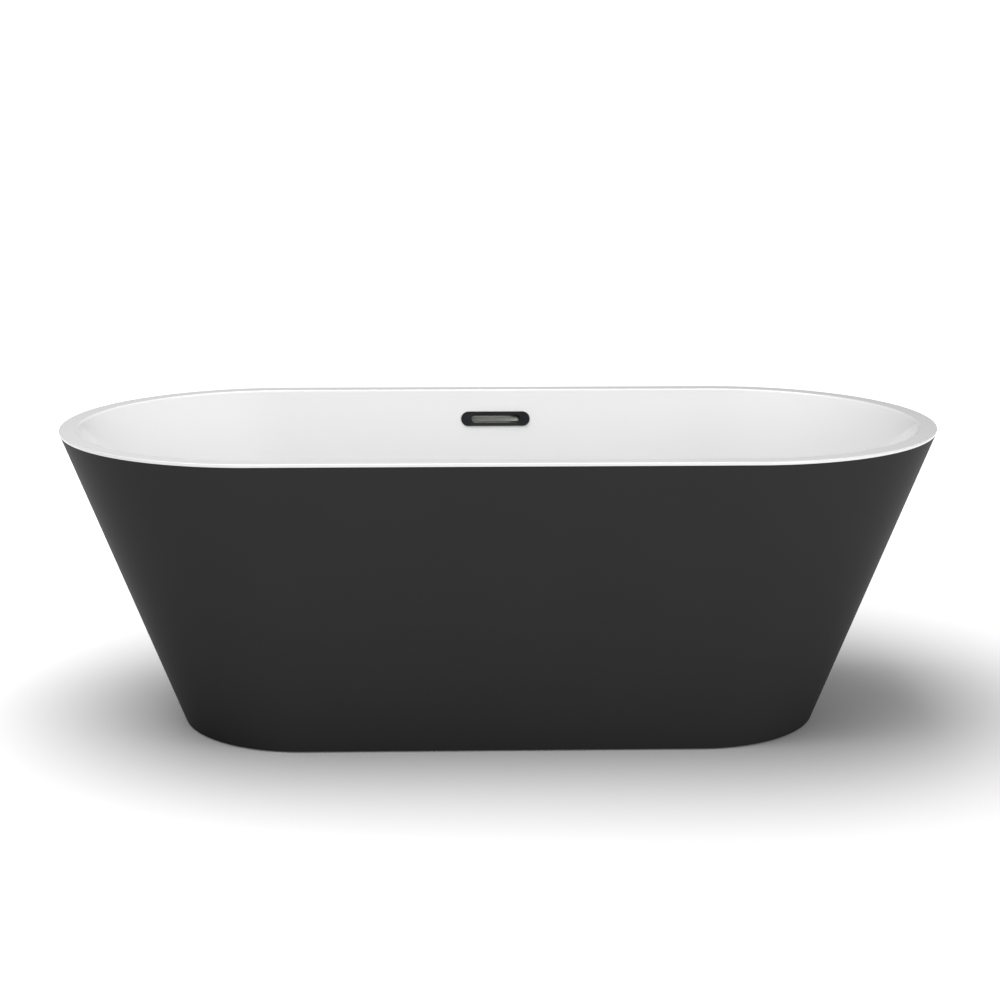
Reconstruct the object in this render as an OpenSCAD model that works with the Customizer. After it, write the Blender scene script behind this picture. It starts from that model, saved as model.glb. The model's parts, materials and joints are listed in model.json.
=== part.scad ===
// Freestanding double-skinned bathtub: a white basin in a black flared skirt, on a steel frame with
// levelling feet, with a pop-up drain in the middle of its floor and a slotted overflow in its far wall.
// Millimetres, +Z up. The origin is on the floor under the middle of the tub, X runs along its length
// and the overflow is in the +Y wall. Wall thicknesses of the shells are measured level.

/* [Tub] */
// Overall length at the rim
tub_l = 1700; // [1500:10:2040]
// Overall width at the rim
tub_w = 800; // [760:10:960]
// Height of the rim above the floor
tub_h = 590; // [500:5:710]
// Length of the skirt at the floor
base_l = 1256; // [1180:2:1300]
// Width of the skirt at the floor
base_w = 500; // [480:2:540]
// Gap between the skirt and the floor, for levelling
skirt_gap = 2; // [1:0.5:4]

/* [Rim] */
// Width of the rim, from its outer edge to the basin's wall
rim_w = 35; // [30:1:45]
// Height of the white lip round the rim's outside
lip_h = 6; // [5:0.5:8]
// Rounding of the rim's inner edge
rim_inner_r = 4; // [2:0.5:6]
// Rounding of the rim's outer edge
rim_outer_r = 2; // [1:0.5:3]

/* [Basin] */
// Length of the basin's floor, before its cove
floor_l = 1180; // [1100:10:1200]
// Width of the basin's floor, before its cove
floor_w = 430; // [400:5:450]
// Height of the basin's floor at the drain
floor_z = 140; // [130:1:170]
// Fall of the floor towards the drain
floor_fall = 6; // [3:1:10]
// Radius of the cove between the floor and the walls
cove_r = 70; // [40:5:90]
// Width of the level pan round the drain
pan_w = 110; // [100:5:140]

/* [Skins] */
// Acrylic sheet of the basin
basin_t = 4; // [3:0.5:5]
// Glass fibre laminate behind the basin
basin_back_t = 3; // [2:0.5:4]
// Acrylic sheet of the skirt
skirt_t = 4; // [3:0.5:5]
// Glass fibre laminate inside the skirt
skirt_back_t = 2; // [1.5:0.5:3]
// Size of the adhesive fillet under the rim
bead = 9; // [6:1:12]
// Height of the wooden ring inside the skirt's foot
foot_ring_h = 40; // [30:5:60]
// Thickness of the wooden ring inside the skirt's foot
foot_ring_t = 18; // [12:1:21]

/* [Base board and frame] */
// Length of the base board
board_l = 1000; // [960:10:1040]
// Width of the base board
board_w = 400; // [390:5:420]
// Thickness of the base board
board_t = 18; // [15:1:21]
// Radius of the hole in the base board round the drain
board_hole_r = 52; // [48:1:60]
// Distance between the two cross tubes, centre to centre
frame_l = 860; // [800:10:900]
// Length of the cross tubes
frame_w = 380; // [360:5:400]
// Distance between the two long rails, centre to centre
rail_pitch = 240; // [200:5:280]
// Width of the long rails
rail_w = 30; // [20:1:40]
// Width of the cross tubes
cross_w = 40; // [30:1:50]
// Height of all the frame's tubes
tube_h = 25; // [20:1:30]
// Wall of the frame's tubes
tube_t = 2; // [1.5:0.5:3]
// Diameter of the wood screws that hold the frame to the board
screw_d = 5; // [4:0.5:6]
// Diameter of the heads of the wood screws
screw_head_d = 10; // [8:0.5:12]

/* [Levelling feet] */
// Thread diameter of the studs
stud_d = 12; // [10:1:14]
// Distance from each foot to the end of its cross tube
foot_inset = 25; // [22:1:40]
// Diameter of the foot pads
pad_d = 50; // [40:1:60]
// Height of the foot pads
pad_h = 14; // [12:1:18]
// Width across the flats of the nuts and of the studs' collars
hex_af = 19; // [17:1:22]
// Height of a nut
nut_h = 10; // [8:1:11]
// Height of a stud's collar
collar_h = 8; // [6:1:10]
// How far a foot screws out
foot_travel = 20; // [10:1:22]

/* [Drain] */
// Diameter of the flange on the basin's floor
flange_d = 72; // [66:1:80]
// Thickness of the flange
flange_t = 3; // [2:0.5:4]
// Outside diameter of the threaded body under the flange
body_d = 48; // [46:1:50]
// Bore of the threaded body
body_bore_d = 40; // [38:0.5:42]
// Length of the threaded body under the flange
body_l = 56; // [52:1:60]
// Outside diameter of the tailpiece, a 1 1/2 inch tube
tail_d = 38.1; // [38.1, 40]
// Wall of the tailpiece
tail_t = 1.5; // [1:0.5:2]
// Height of the tailpiece's open end above the floor
tail_z = 10; // [5:1:15]
// Free length of the tailpiece below its nut
tail_free = 28; // [25:1:30]
// Diameter of the stopper's cap
cap_d = 64; // [58:1:68]
// Height of the stopper's cap at its middle
cap_h = 6; // [5:0.5:9]
// How far the stopper lifts
stopper_lift = 10; // [8:0.5:12]
// Diameter of the stopper's stem
stem_d = 8; // [7:0.5:9]

/* [Overflow] */
// Depth of the overflow's centre below the rim
overflow_drop = 60; // [58:1:80]
// Length of the overflow's face
trim_l = 146; // [130:1:160]
// Height of the overflow's face
trim_w = 31; // [30:1:36]
// Thickness of the overflow's face
trim_t = 3; // [2:0.5:4]
// Length of the opening
mouth_l = 102; // [90:1:110]
// Height of the opening
mouth_w = 17; // [16:0.5:18]
// Height of the steel strip across the opening
strip_w = 8.5; // [7:0.5:9]
// Depth of the strip behind the face
strip_depth = 9; // [7:0.5:10]
// Outside diameter of the overflow hose
hose_d = 26; // [22:1:28]
// Bore of the overflow hose
hose_bore_d = 19; // [16:1:20]
// Bend radius of the hose at the foot of the wall
hose_bend_r = 60; // [50:5:80]

/* [Hidden] */
// Segments in each rounded end of the shells
end_steps = 32;
// Steps in the basin's cove and in the rim's edges
cove_steps = 7;
edge_steps = 3;
// Segments round the hose and in its bend
hose_sides = 32;
bend_steps = 10;
// Clearances: a running fit on radius, a loose fit on radius, and room round parts inside the walls
run = 0.1;
loose = 0.5;
room_gap = 2;
$fn = 72;

// Where the straight walls start and end
inner_l = tub_l - 2 * rim_w;
inner_w = tub_w - 2 * rim_w;
cove_z = floor_z + floor_fall;
under_rim = tub_h - lip_h;
widest_z = tub_h - rim_outer_r;
basin_skin = basin_t + basin_back_t;
skirt_skin = skirt_t + skirt_back_t;

// Sizes of the straight walls at a height
function basin_l(z) = inner_l - (inner_l - floor_l) * (tub_h - z) / (tub_h - cove_z);
function basin_w(z) = inner_w - (inner_w - floor_w) * (tub_h - z) / (tub_h - cove_z);
function skirt_l(z) = base_l + (tub_l - base_l) * z / widest_z;
function skirt_w(z) = base_w + (tub_w - base_w) * z / widest_z;

// Stack under the basin, from its floor down to the frame
laminate_z = floor_z - basin_skin;
board_z = laminate_z - board_t;
frame_z = board_z - tube_h;
foot_x = frame_l / 2;
foot_y = frame_w / 2 - foot_inset;
rail_y = rail_pitch / 2;

// Drain levels
gasket_t = 1;
flange_z = floor_z + gasket_t;
seat_z = flange_z + flange_t;
seal_t = 2;
cap_z = seat_z + seal_t;
body_z = flange_z - body_l;
washer_t = 5;
locknut_h = 8;
locknut_z = laminate_z - washer_t - locknut_h;
tee_wall = 4;
tee_top_z = body_z + 26;
branch_z = frame_z - hose_d / 2 - 4;
tee_floor_z = branch_z - 14;
tail_nut_h = 14;
tail_nut_z = tail_z + tail_free;
branch_l = 70;
hub_h = 12;
sleeve_r = 9;
sleeve_bore_r = 6.5;
sleeve_top_z = cap_z - 25;
sleeve_z = sleeve_top_z - 36;
sleeve_end_t = 2;
stem_foot_h = 4;
stem_foot_z = sleeve_top_z - sleeve_end_t - stopper_lift - stem_foot_h - 5;
cam_h = 3;
spring_z = sleeve_z + sleeve_end_t;
spring_r = 5.4;
spring_wire_r = 0.7;
spring_turns = 6;

// Overflow: the wall's lean, the level gap between the walls, and the depth behind the wall
wall_slope = (inner_w - floor_w) / 2 / (tub_h - cove_z);
skirt_slope = (tub_w - base_w) / 2 / widest_z;
lean = atan(wall_slope);
overflow_z = tub_h - overflow_drop;
overflow_y = basin_w(overflow_z) / 2;
skin_depth = basin_skin * cos(lean);
square_share = cos(lean) + skirt_slope * sin(lean);
function level_gap(z) = skirt_w(z) / 2 - skirt_skin - basin_w(z) / 2 - basin_skin;
function room(z) = level_gap(z) / square_share;
sleeve_wall = 2.5;
channel_t = 2;
channel_side = 8;
channel_top = mouth_w / 2 + sleeve_wall + channel_side;
channel_d = room(overflow_z + channel_top * cos(lean)) - 2 * room_gap;
hose_room = (hose_d + 2 * room_gap) * square_share;
hose_top_z = tub_h - (hose_room - level_gap(tub_h)) / (wall_slope - skirt_slope);
channel_bottom = min(-channel_top - 10, (hose_top_z - overflow_z) / cos(lean));
channel_l = mouth_l + 2 * (sleeve_wall + channel_side);
hose_depth = skin_depth + room_gap + hose_d / 2;
cuff_h = 16;

// ---- Shared shapes ----

// Outline of a pill shape of overall length l and width w at height z, as points anticlockwise from above
function pill(l, w, z) = [
    for (side = [1, -1]) for (i = [0:end_steps])
        let (a = -90 + 180 * i / end_steps)
            [side * ((l - w) / 2 + cos(a) * w / 2), side * sin(a) * w / 2, z]
];

function reverse(list) = [for (i = [len(list) - 1:-1:0]) list[i]];

// A section comes before another if its first point is lower, or level and nearer the middle
function before(a, b) = a[0][2] < b[0][2] || (a[0][2] == b[0][2] && norm(a[0]) < norm(b[0]));

// Skin over sections, each a list of as many points. With loop the last section joins the first, as in a
// tube or a band. Otherwise both ends are capped. Each facet is cut the same way whichever way the
// sections run, so two layers that share a face share its facets.
module skin(sections, loop = false) {
    n = len(sections[0]);
    count = len(sections);
    sides = [
        for (k = [0:count - (loop ? 1 : 2)]) for (i = [0:n - 1])
            let (next = (k + 1) % count, a = k * n, b = next * n, j = (i + 1) % n)
                each before(sections[k], sections[next])
                    ? [[a + i, a + j, b + j], [a + i, b + j, b + i]]
                    : [[a + i, a + j, b + i], [a + j, b + j, b + i]]
    ];
    caps = loop ? [] : [[for (i = [n - 1:-1:0]) i], [for (i = [0:n - 1]) (count - 1) * n + i]];
    polyhedron(points = [for (section = sections) each section], faces = concat(sides, caps), convexity = 6);
}

// Skin over pill-shaped rings, each [length, width, height], that run up the inside of a wall, over its
// top and down its outside
module loft(rings, loop = false) {
    skin([for (r = rings) pill(r[0], r[1], r[2])], loop);
}

// Bar with round ends, standing on z = 0
module oblong(l, w, h) {
    translate([-(l - w) / 2, -w / 2, 0]) cube([l - w, w, h]);
    for (side = [1, -1]) translate([side * (l - w) / 2, 0, 0]) cylinder(d = w, h = h);
}

// Round tube from z = 0
module pipe(outer_r, bore_r, h) {
    difference() {
        cylinder(r = outer_r, h = h);
        translate([0, 0, -1]) cylinder(r = bore_r, h = h + 2);
    }
}

// Hexagon bar from z = 0, by its width across the flats
module hexagon(af, h) {
    cylinder(d = af / cos(30), h = h, $fn = 6);
}

// Rectangular tube along X, centred on X and Y, from z = 0
module box_tube(l, w) {
    difference() {
        translate([-l / 2, -w / 2, 0]) cube([l, w, tube_h]);
        translate([-l / 2 - 1, -w / 2 + tube_t, tube_t]) cube([l + 2, w - 2 * tube_t, tube_h - 2 * tube_t]);
    }
}

// ---- Basin ----

// Rings of the cove and the wall's foot: out is the level offset of a wall, drop the offset of a floor
function cove(out, drop) = [
    for (i = [0:cove_steps])
        let (a = 90 * i / cove_steps, z = cove_z + cove_r * (1 - cos(a)))
        let (grow = 2 * (out * sin(a) - cove_r * (1 - sin(a))))
            [basin_l(z) + grow, basin_w(z) + grow, z - drop * cos(a)]
];

// Ring of a wall at a height, offset outwards
function basin_ring(z, out) = [basin_l(z) + 2 * out, basin_w(z) + 2 * out, z];
function skirt_ring(z, inset) = [skirt_l(z) - 2 * inset, skirt_w(z) - 2 * inset, z];
// Ring of the level pan round the drain, a little longer than wide so that its ends stay apart
function pan(drop) = [pan_w + 20, pan_w, floor_z - drop];

rim_inner_edge = [
    for (i = [0:edge_steps])
        let (a = 90 * i / edge_steps)
            basin_ring(tub_h - rim_inner_r * (1 - sin(a)), rim_inner_r * (1 - cos(a)))
];
rim_outer_edge = [
    for (i = [0:edge_steps])
        let (a = 90 * i / edge_steps, inset = rim_outer_r * (1 - sin(a)))
            [tub_l - 2 * inset, tub_w - 2 * inset, tub_h - rim_outer_r * (1 - cos(a))]
];

// Places children at the overflow: +Z comes squarely out of the basin's wall, +Y runs up it
module at_overflow() {
    translate([0, overflow_y, overflow_z]) rotate([90 - lean, 0, 0]) children();
}

// Holes through the basin's skins for the drain and the overflow
module basin_holes() {
    translate([0, 0, laminate_z - 1]) cylinder(d = body_d + 2 * loose, h = basin_skin + 2);
    at_overflow() translate([0, 0, -skin_depth - 4])
        oblong(mouth_l + 2 * (sleeve_wall + loose), mouth_w + 2 * (sleeve_wall + loose), skin_depth + 8);
}

module basin_shell() {
    color("white") difference() {
        loft(concat(
            [pan(0)], cove(0, 0), rim_inner_edge, rim_outer_edge,
            [skirt_ring(under_rim, 0), basin_ring(under_rim, basin_t)],
            reverse(cove(basin_t, basin_t)), [pan(basin_t)]
        ));
        basin_holes();
    }
}

module basin_laminate() {
    color("khaki") difference() {
        loft(concat(
            [pan(basin_t)], cove(basin_t, basin_t),
            [basin_ring(under_rim, basin_t), basin_ring(under_rim, basin_skin)],
            reverse(cove(basin_skin, basin_skin + floor_fall))
        ));
        basin_holes();
    }
}

// ---- Skirt ----

// Band between two insets from the skirt's outside and two heights
module skirt_layer(low_z, high_z, outer, inner) {
    loft([
        skirt_ring(low_z, inner), skirt_ring(high_z, inner), skirt_ring(high_z, outer), skirt_ring(low_z, outer)
    ], loop = true);
}

module skirt_shell() {
    color("dimgray") skirt_layer(skirt_gap, under_rim, 0, skirt_t);
}

module skirt_laminate() {
    color("khaki") skirt_layer(skirt_gap, under_rim, skirt_t, skirt_skin);
}

module skirt_foot_ring() {
    color("burlywood") skirt_layer(skirt_gap, skirt_gap + foot_ring_h, skirt_skin, skirt_skin + foot_ring_t);
}

// Three-cornered fillet between the rim's underside and the skirt's laminate
module rim_adhesive() {
    color("gainsboro") loft([
        skirt_ring(under_rim - bead, skirt_skin),
        skirt_ring(under_rim, skirt_skin + bead),
        skirt_ring(under_rim, skirt_skin)
    ], loop = true);
}

// ---- Base board and frame ----

module base_board() {
    color("burlywood") translate([0, 0, board_z]) difference() {
        translate([-board_l / 2, -board_w / 2, 0]) cube([board_l, board_w, board_t]);
        translate([0, 0, -1]) cylinder(r = board_hole_r, h = board_t + 2);
        at_frame_screws() translate([0, 0, -1]) cylinder(d = screw_d, h = board_t - 3);
    }
}

// Screw places: three along each long rail
module at_frame_screws() {
    for (x = [-1, 0, 1], y = [-1, 1]) translate([x * frame_l / 3, y * rail_y, 0]) children();
}

module frame_rail(side) {
    color("silver") translate([0, 0, frame_z]) difference() {
        translate([0, side * rail_y, 0]) box_tube(frame_l - cross_w, rail_w);
        at_frame_screws() {
            translate([0, 0, tube_h - tube_t - 1]) cylinder(d = screw_d, h = tube_t + 2);
            translate([0, 0, -1]) cylinder(d = screw_head_d + 2, h = tube_t + 2);
        }
    }
}

module frame_cross(side) {
    color("silver") translate([side * foot_x, 0, frame_z]) difference() {
        rotate([0, 0, 90]) box_tube(frame_w, cross_w);
        for (y = [-foot_y, foot_y]) translate([0, y, -1]) cylinder(d = stud_d + 2 * loose, h = tube_t + 2);
    }
}

// Wood screws, heads inside the rails, ends in the board
module frame_screws() {
    color("goldenrod") translate([0, 0, board_z]) at_frame_screws() {
        translate([0, 0, -tube_t]) cylinder(d = screw_d, h = tube_t + board_t - 4);
        translate([0, 0, -tube_t - 3]) cylinder(d1 = screw_head_d - 3, d2 = screw_head_d, h = 3);
    }
}

// ---- Levelling feet ----

// Places children on the floor at one foot: -1 is left or front, 1 right or back
module at_foot(x, y) {
    translate([x * foot_x, y * foot_y, 0]) children();
}

module stud_nut() {
    difference() {
        hexagon(hex_af, nut_h);
        translate([0, 0, -1]) cylinder(d = stud_d + 2 * run, h = nut_h + 2);
    }
}

module frame_nuts() {
    color("silver") for (x = [-1, 1], y = [-1, 1]) at_foot(x, y) translate([0, 0, frame_z - nut_h]) stud_nut();
}

module foot_locknut(x, y) {
    color("silver") at_foot(x, y) translate([0, 0, frame_z - 2 * nut_h]) stud_nut();
}

pocket_r = stud_d / 2 + 2;
pocket_z = 5;

module foot_stud(x, y) {
    stud_top = frame_z + tube_h - tube_t - 2;
    color("silver") at_foot(x, y) {
        translate([0, 0, pocket_z]) cylinder(r = pocket_r - run, h = pad_h - pocket_z + run);
        translate([0, 0, pad_h + run]) hexagon(hex_af, collar_h);
        translate([0, 0, pad_h + collar_h]) cylinder(d = stud_d, h = stud_top - pad_h - collar_h - 1);
        translate([0, 0, stud_top - 1]) cylinder(d1 = stud_d, d2 = stud_d - 2, h = 1);
    }
}

module foot_pad(x, y) {
    sole_h = 4;
    color("dimgray") at_foot(x, y) difference() {
        rotate_extrude() polygon([
            [0, 0], [pad_d / 2 - 1, 0], [pad_d / 2, 1], [pad_d / 2, sole_h], [pocket_r + 5, pad_h - 3],
            [pocket_r + 3, pad_h], [0, pad_h]
        ]);
        translate([0, 0, pocket_z - run]) cylinder(r = pocket_r, h = pad_h);
    }
}

// ---- Drain ----

// Flange, threaded body and the three arms that carry the stopper's sleeve
module drain_flange() {
    body_r = body_d / 2;
    bore_r = body_bore_d / 2;
    color("dimgray") {
        rotate_extrude() polygon([
            [bore_r, body_z], [body_r, body_z], [body_r, flange_z], [flange_d / 2, flange_z],
            [flange_d / 2, seat_z - 1], [flange_d / 2 - 1, seat_z], [bore_r + 2, seat_z], [bore_r, seat_z - 2]
        ]);
        difference() {
            translate([0, 0, sleeve_top_z - 4 - hub_h]) union() {
                cylinder(r = sleeve_r + 3, h = hub_h);
                for (a = [90, 210, 330]) rotate([0, 0, a]) translate([0, -2, 0]) cube([bore_r + 1, 4, hub_h]);
            }
            translate([0, 0, sleeve_z]) cylinder(r = sleeve_r, h = sleeve_top_z - sleeve_z);
        }
    }
}

module drain_gasket() {
    color("dimgray") translate([0, 0, floor_z]) pipe(flange_d / 2 - 2, body_d / 2, gasket_t);
}

module drain_washer() {
    color("dimgray") translate([0, 0, laminate_z - washer_t]) pipe(body_d / 2 + 14, body_d / 2, washer_t);
}

// Round nut with eight lugs for a spanner
module drain_locknut() {
    lugs = 8;
    color("gainsboro") translate([0, 0, locknut_z]) difference() {
        union() {
            cylinder(d = body_d + 18, h = locknut_h);
            for (i = [0:lugs - 1]) rotate([0, 0, i * 360 / lugs])
                translate([body_d / 2 + 5, -4, 0]) cube([8, 8, locknut_h]);
        }
        translate([0, 0, -1]) cylinder(d = body_d, h = locknut_h + 2);
    }
}

// Waste body under the drain: a socket for the threaded body, a spigot for the overflow hose at its side
// and a neck for the tailpiece
module drain_tee() {
    socket_r = body_d / 2 + tee_wall;
    neck_r = tail_d / 2 + tee_wall;
    neck_z = tail_nut_z + 4;
    color("dimgray") difference() {
        union() {
            translate([0, 0, tee_floor_z]) cylinder(r = socket_r, h = tee_top_z - tee_floor_z);
            translate([0, 0, neck_z]) cylinder(r = neck_r, h = tee_floor_z - neck_z);
            translate([0, 0, branch_z]) rotate([-90, 0, 0]) cylinder(d = hose_bore_d, h = branch_l);
        }
        translate([0, 0, body_z]) cylinder(d = body_d, h = tee_top_z - body_z + 1);
        translate([0, 0, tee_floor_z + tee_wall]) cylinder(d = body_d - 4, h = body_z - tee_floor_z - tee_wall + 1);
        translate([0, 0, neck_z - 1]) cylinder(d = tail_d, h = tee_floor_z - neck_z + 2);
        translate([0, 0, tee_floor_z - 1]) cylinder(d = tail_d - 4, h = tee_wall + 2);
        translate([0, 0, branch_z]) rotate([-90, 0, 0]) cylinder(d = hose_bore_d - 4, h = branch_l + 1);
    }
}

// Tube whose upper end is turned down where it enters the tee
module tailpiece() {
    top_z = tee_floor_z;
    spigot_r = tail_d / 2 - 0.5;
    color("silver") rotate_extrude() polygon([
        [tail_d / 2 - tail_t, tail_z], [tail_d / 2, tail_z], [tail_d / 2, tail_nut_z], [spigot_r, tail_nut_z],
        [spigot_r, top_z], [tail_d / 2 - tail_t, top_z]
    ]);
}

// Ribbed nut that clamps the tailpiece in the tee's neck
module tail_nut() {
    ribs = 12;
    nut_r = tail_d / 2 + tee_wall + 3;
    color("dimgray") translate([0, 0, tail_nut_z]) difference() {
        union() {
            cylinder(r = nut_r, h = tail_nut_h);
            for (i = [0:ribs - 1]) rotate([0, 0, i * 360 / ribs])
                translate([nut_r - 1, -1.5, 0]) cube([2.5, 3, tail_nut_h]);
        }
        translate([0, 0, -1]) cylinder(r = tail_d / 2 - 0.5, h = 3);
        translate([0, 0, 2]) cylinder(r = tail_d / 2 + tee_wall, h = tail_nut_h);
    }
}

// Seal ring between the nut's floor and the neck's end
module tail_seal() {
    color("dimgray") translate([0, 0, tail_nut_z + 2])
        pipe(tail_d / 2 + tee_wall, tail_d / 2 - 0.5, 2);
}

// ---- Stopper ----

module stopper_cap() {
    edge = 2;
    crown_r = (pow(cap_d / 2, 2) + pow(cap_h - edge, 2)) / (2 * (cap_h - edge));
    color("dimgray") translate([0, 0, cap_z]) difference() {
        intersection() {
            translate([0, 0, cap_h - crown_r]) sphere(r = crown_r, $fn = 180);
            cylinder(d = cap_d, h = cap_h);
        }
        translate([0, 0, -1]) cylinder(d = stem_d, h = cap_h - 1);
    }
}

module stopper_seal() {
    color("dimgray") translate([0, 0, seat_z]) pipe(body_bore_d / 2 + 9, body_bore_d / 2 + 3, seal_t);
}

module stopper_stem() {
    color("silver") {
        translate([0, 0, stem_foot_z]) cylinder(d = stem_d, h = cap_z + cap_h - 2 - stem_foot_z);
        translate([0, 0, stem_foot_z]) cylinder(r = sleeve_bore_r - run, h = stem_foot_h);
    }
}

// Sleeve of the push-to-open mechanism, screwed into the flange's hub
module stopper_sleeve() {
    color("gainsboro") translate([0, 0, sleeve_z]) difference() {
        cylinder(r = sleeve_r, h = sleeve_top_z - sleeve_z);
        translate([0, 0, sleeve_end_t]) cylinder(r = sleeve_bore_r, h = sleeve_top_z - sleeve_z - 2 * sleeve_end_t);
        cylinder(d = stem_d + 2 * run, h = sleeve_top_z - sleeve_z + 1);
    }
}

// Ring that turns an eighth of a turn at each stroke, with four teeth for the sleeve
module stopper_cam() {
    teeth = 4;
    color("gainsboro") translate([0, 0, stem_foot_z + stem_foot_h + run]) difference() {
        union() {
            cylinder(r = sleeve_bore_r - 0.6, h = cam_h);
            for (i = [0:teeth - 1]) rotate([0, 0, i * 360 / teeth]) intersection() {
                translate([0, -1, 0]) cube([sleeve_bore_r, 2, cam_h]);
                cylinder(r = sleeve_bore_r - run, h = cam_h);
            }
        }
        translate([0, 0, -1]) cylinder(d = stem_d + 2 * run, h = cam_h + 2);
    }
}

// Compression spring: a round wire along a helix
module stopper_spring() {
    sides = 6;
    per_turn = 12;
    steps = spring_turns * per_turn;
    rise = stem_foot_z - spring_z - 2 * spring_wire_r;
    color("silver") skin([
        for (k = [0:steps])
            let (turn = 360 * k / per_turn, z = spring_z + spring_wire_r + rise * k / steps)
                [
                    for (i = [0:sides - 1])
                        let (a = 360 * i / sides, r = spring_r + spring_wire_r * cos(a))
                            [r * cos(turn), r * sin(turn), z + spring_wire_r * sin(a)]
                ]
    ]);
}

// ---- Overflow ----

// Face and sleeve in one: the sleeve goes through the basin's wall into the channel
module overflow_trim() {
    sleeve_depth = skin_depth + channel_t + 3;
    bevel = 1;
    color("dimgray") at_overflow() difference() {
        union() {
            translate([0, 0, 1]) oblong(trim_l, trim_w, trim_t - 1 - bevel);
            translate([0, 0, trim_t - bevel]) oblong(trim_l - 2 * bevel, trim_w - 2 * bevel, bevel);
            translate([0, 0, -sleeve_depth])
                oblong(mouth_l + 2 * sleeve_wall, mouth_w + 2 * sleeve_wall, sleeve_depth + trim_t - bevel);
        }
        translate([0, 0, -sleeve_depth - 1]) oblong(mouth_l, mouth_w, sleeve_depth + trim_t + 2);
    }
}

// Steel strip across the opening, with water's way above and below it
module overflow_strip() {
    strip_t = 1.5;
    color("silver") at_overflow() translate([0, 0, trim_t - strip_depth - strip_t]) intersection() {
        translate([-mouth_l / 2, -strip_w / 2, 0]) cube([mouth_l, strip_w, strip_t]);
        oblong(mouth_l, mouth_w, strip_t);
    }
}

module overflow_gasket() {
    color("dimgray") at_overflow() difference() {
        oblong(trim_l - 4, trim_w - 4, 1);
        translate([0, 0, -1]) oblong(mouth_l + 2 * sleeve_wall, mouth_w + 2 * sleeve_wall, 3);
    }
}

// Flat chamber between the two skins, with a mouth for the sleeve and a spigot for the hose
module overflow_channel() {
    h = channel_top - channel_bottom;
    spigot_z = -hose_depth;
    color("gainsboro") at_overflow() difference() {
        union() {
            translate([-channel_l / 2, channel_bottom, -skin_depth - channel_d]) cube([channel_l, h, channel_d]);
            translate([0, channel_bottom + channel_t, spigot_z]) rotate([90, 0, 0])
                cylinder(d = hose_bore_d, h = cuff_h + channel_t + 4);
        }
        translate([-channel_l / 2 + channel_t, channel_bottom + channel_t, -skin_depth - channel_d + channel_t])
            cube([channel_l - 2 * channel_t, h - 2 * channel_t, channel_d - 2 * channel_t]);
        translate([0, 0, -skin_depth - channel_t - 1])
            oblong(mouth_l + 2 * sleeve_wall, mouth_w + 2 * sleeve_wall, channel_t + 2);
        translate([0, channel_bottom + channel_t + 1, spigot_z]) rotate([90, 0, 0])
            cylinder(d = hose_bore_d - 4, h = cuff_h + channel_t + 6);
    }
}

// The hose starts under the channel, runs down behind the wall, and turns level towards the tee. All of it
// lies in the plane x = 0: start and corner are [y, z] points on its centre line.
hose_start = [
    overflow_y + (channel_bottom * sin(lean)) + hose_depth * cos(lean),
    overflow_z + channel_bottom * cos(lean) - hose_depth * sin(lean)
];
hose_turn = 90 - lean;
hose_level_y = hose_start[0] - (hose_start[1] - branch_z) * tan(lean) - hose_bend_r * tan(hose_turn / 2);
hose_end_y = body_d / 2 + tee_wall + 2;

// Places along the hose from the tee upwards: [y, z, climb in degrees]
hose_line = concat(
    [[hose_end_y, branch_z, 0]],
    [
        for (i = [0:bend_steps])
            let (a = hose_turn * i / bend_steps)
                [hose_level_y + hose_bend_r * sin(a), branch_z + hose_bend_r * (1 - cos(a)), a]
    ],
    [[hose_start[0], hose_start[1], hose_turn]]
);

// Round section of the hose at a place
function hose_section(place, r) = [
    for (i = [0:hose_sides - 1])
        let (a = 360 * i / hose_sides)
            [r * cos(a), place[0] + r * sin(a) * sin(place[2]), place[1] - r * sin(a) * cos(place[2])]
];

// The bore's flats are as far apart as its diameter, so round spigots fit in it
module overflow_hose() {
    bore_r = hose_bore_d / 2 / cos(180 / hose_sides);
    color("lightgray") skin(concat(
        [for (place = hose_line) hose_section(place, bore_r)],
        [for (place = reverse(hose_line)) hose_section(place, hose_d / 2)]
    ), loop = true);
}

module hose_cuff() {
    pipe(hose_d / 2 + 1.5, hose_d / 2, cuff_h);
}

module hose_cuff_top() {
    color("silver") translate([0, hose_start[0], hose_start[1]]) rotate([180 - lean, 0, 0])
        translate([0, 0, 3]) hose_cuff();
}

module hose_cuff_bottom() {
    color("silver") translate([0, hose_end_y + 6, branch_z]) rotate([-90, 0, 0]) hose_cuff();
}

basin_shell();
basin_laminate();
skirt_shell();
skirt_laminate();
rim_adhesive();
skirt_foot_ring();
base_board();
frame_rail(-1);  // frame_rail_front
frame_rail(1);  // frame_rail_back
frame_cross(-1);  // frame_cross_left
frame_cross(1);  // frame_cross_right
frame_nuts();
frame_screws();
foot_pad(-1, -1);  // foot_pad_front_left
foot_pad(1, -1);  // foot_pad_front_right
foot_pad(-1, 1);  // foot_pad_back_left
foot_pad(1, 1);  // foot_pad_back_right
foot_stud(-1, -1);  // foot_stud_front_left
foot_stud(1, -1);  // foot_stud_front_right
foot_stud(-1, 1);  // foot_stud_back_left
foot_stud(1, 1);  // foot_stud_back_right
foot_locknut(-1, -1);  // foot_locknut_front_left
foot_locknut(1, -1);  // foot_locknut_front_right
foot_locknut(-1, 1);  // foot_locknut_back_left
foot_locknut(1, 1);  // foot_locknut_back_right
drain_flange();
drain_gasket();
drain_washer();
drain_locknut();
drain_tee();
tailpiece();
tail_nut();
tail_seal();
stopper_cap();
stopper_seal();
stopper_stem();
stopper_sleeve();
stopper_cam();
stopper_spring();
overflow_trim();
overflow_strip();
overflow_gasket();
overflow_channel();
overflow_hose();
hose_cuff_top();
hose_cuff_bottom();
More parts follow.
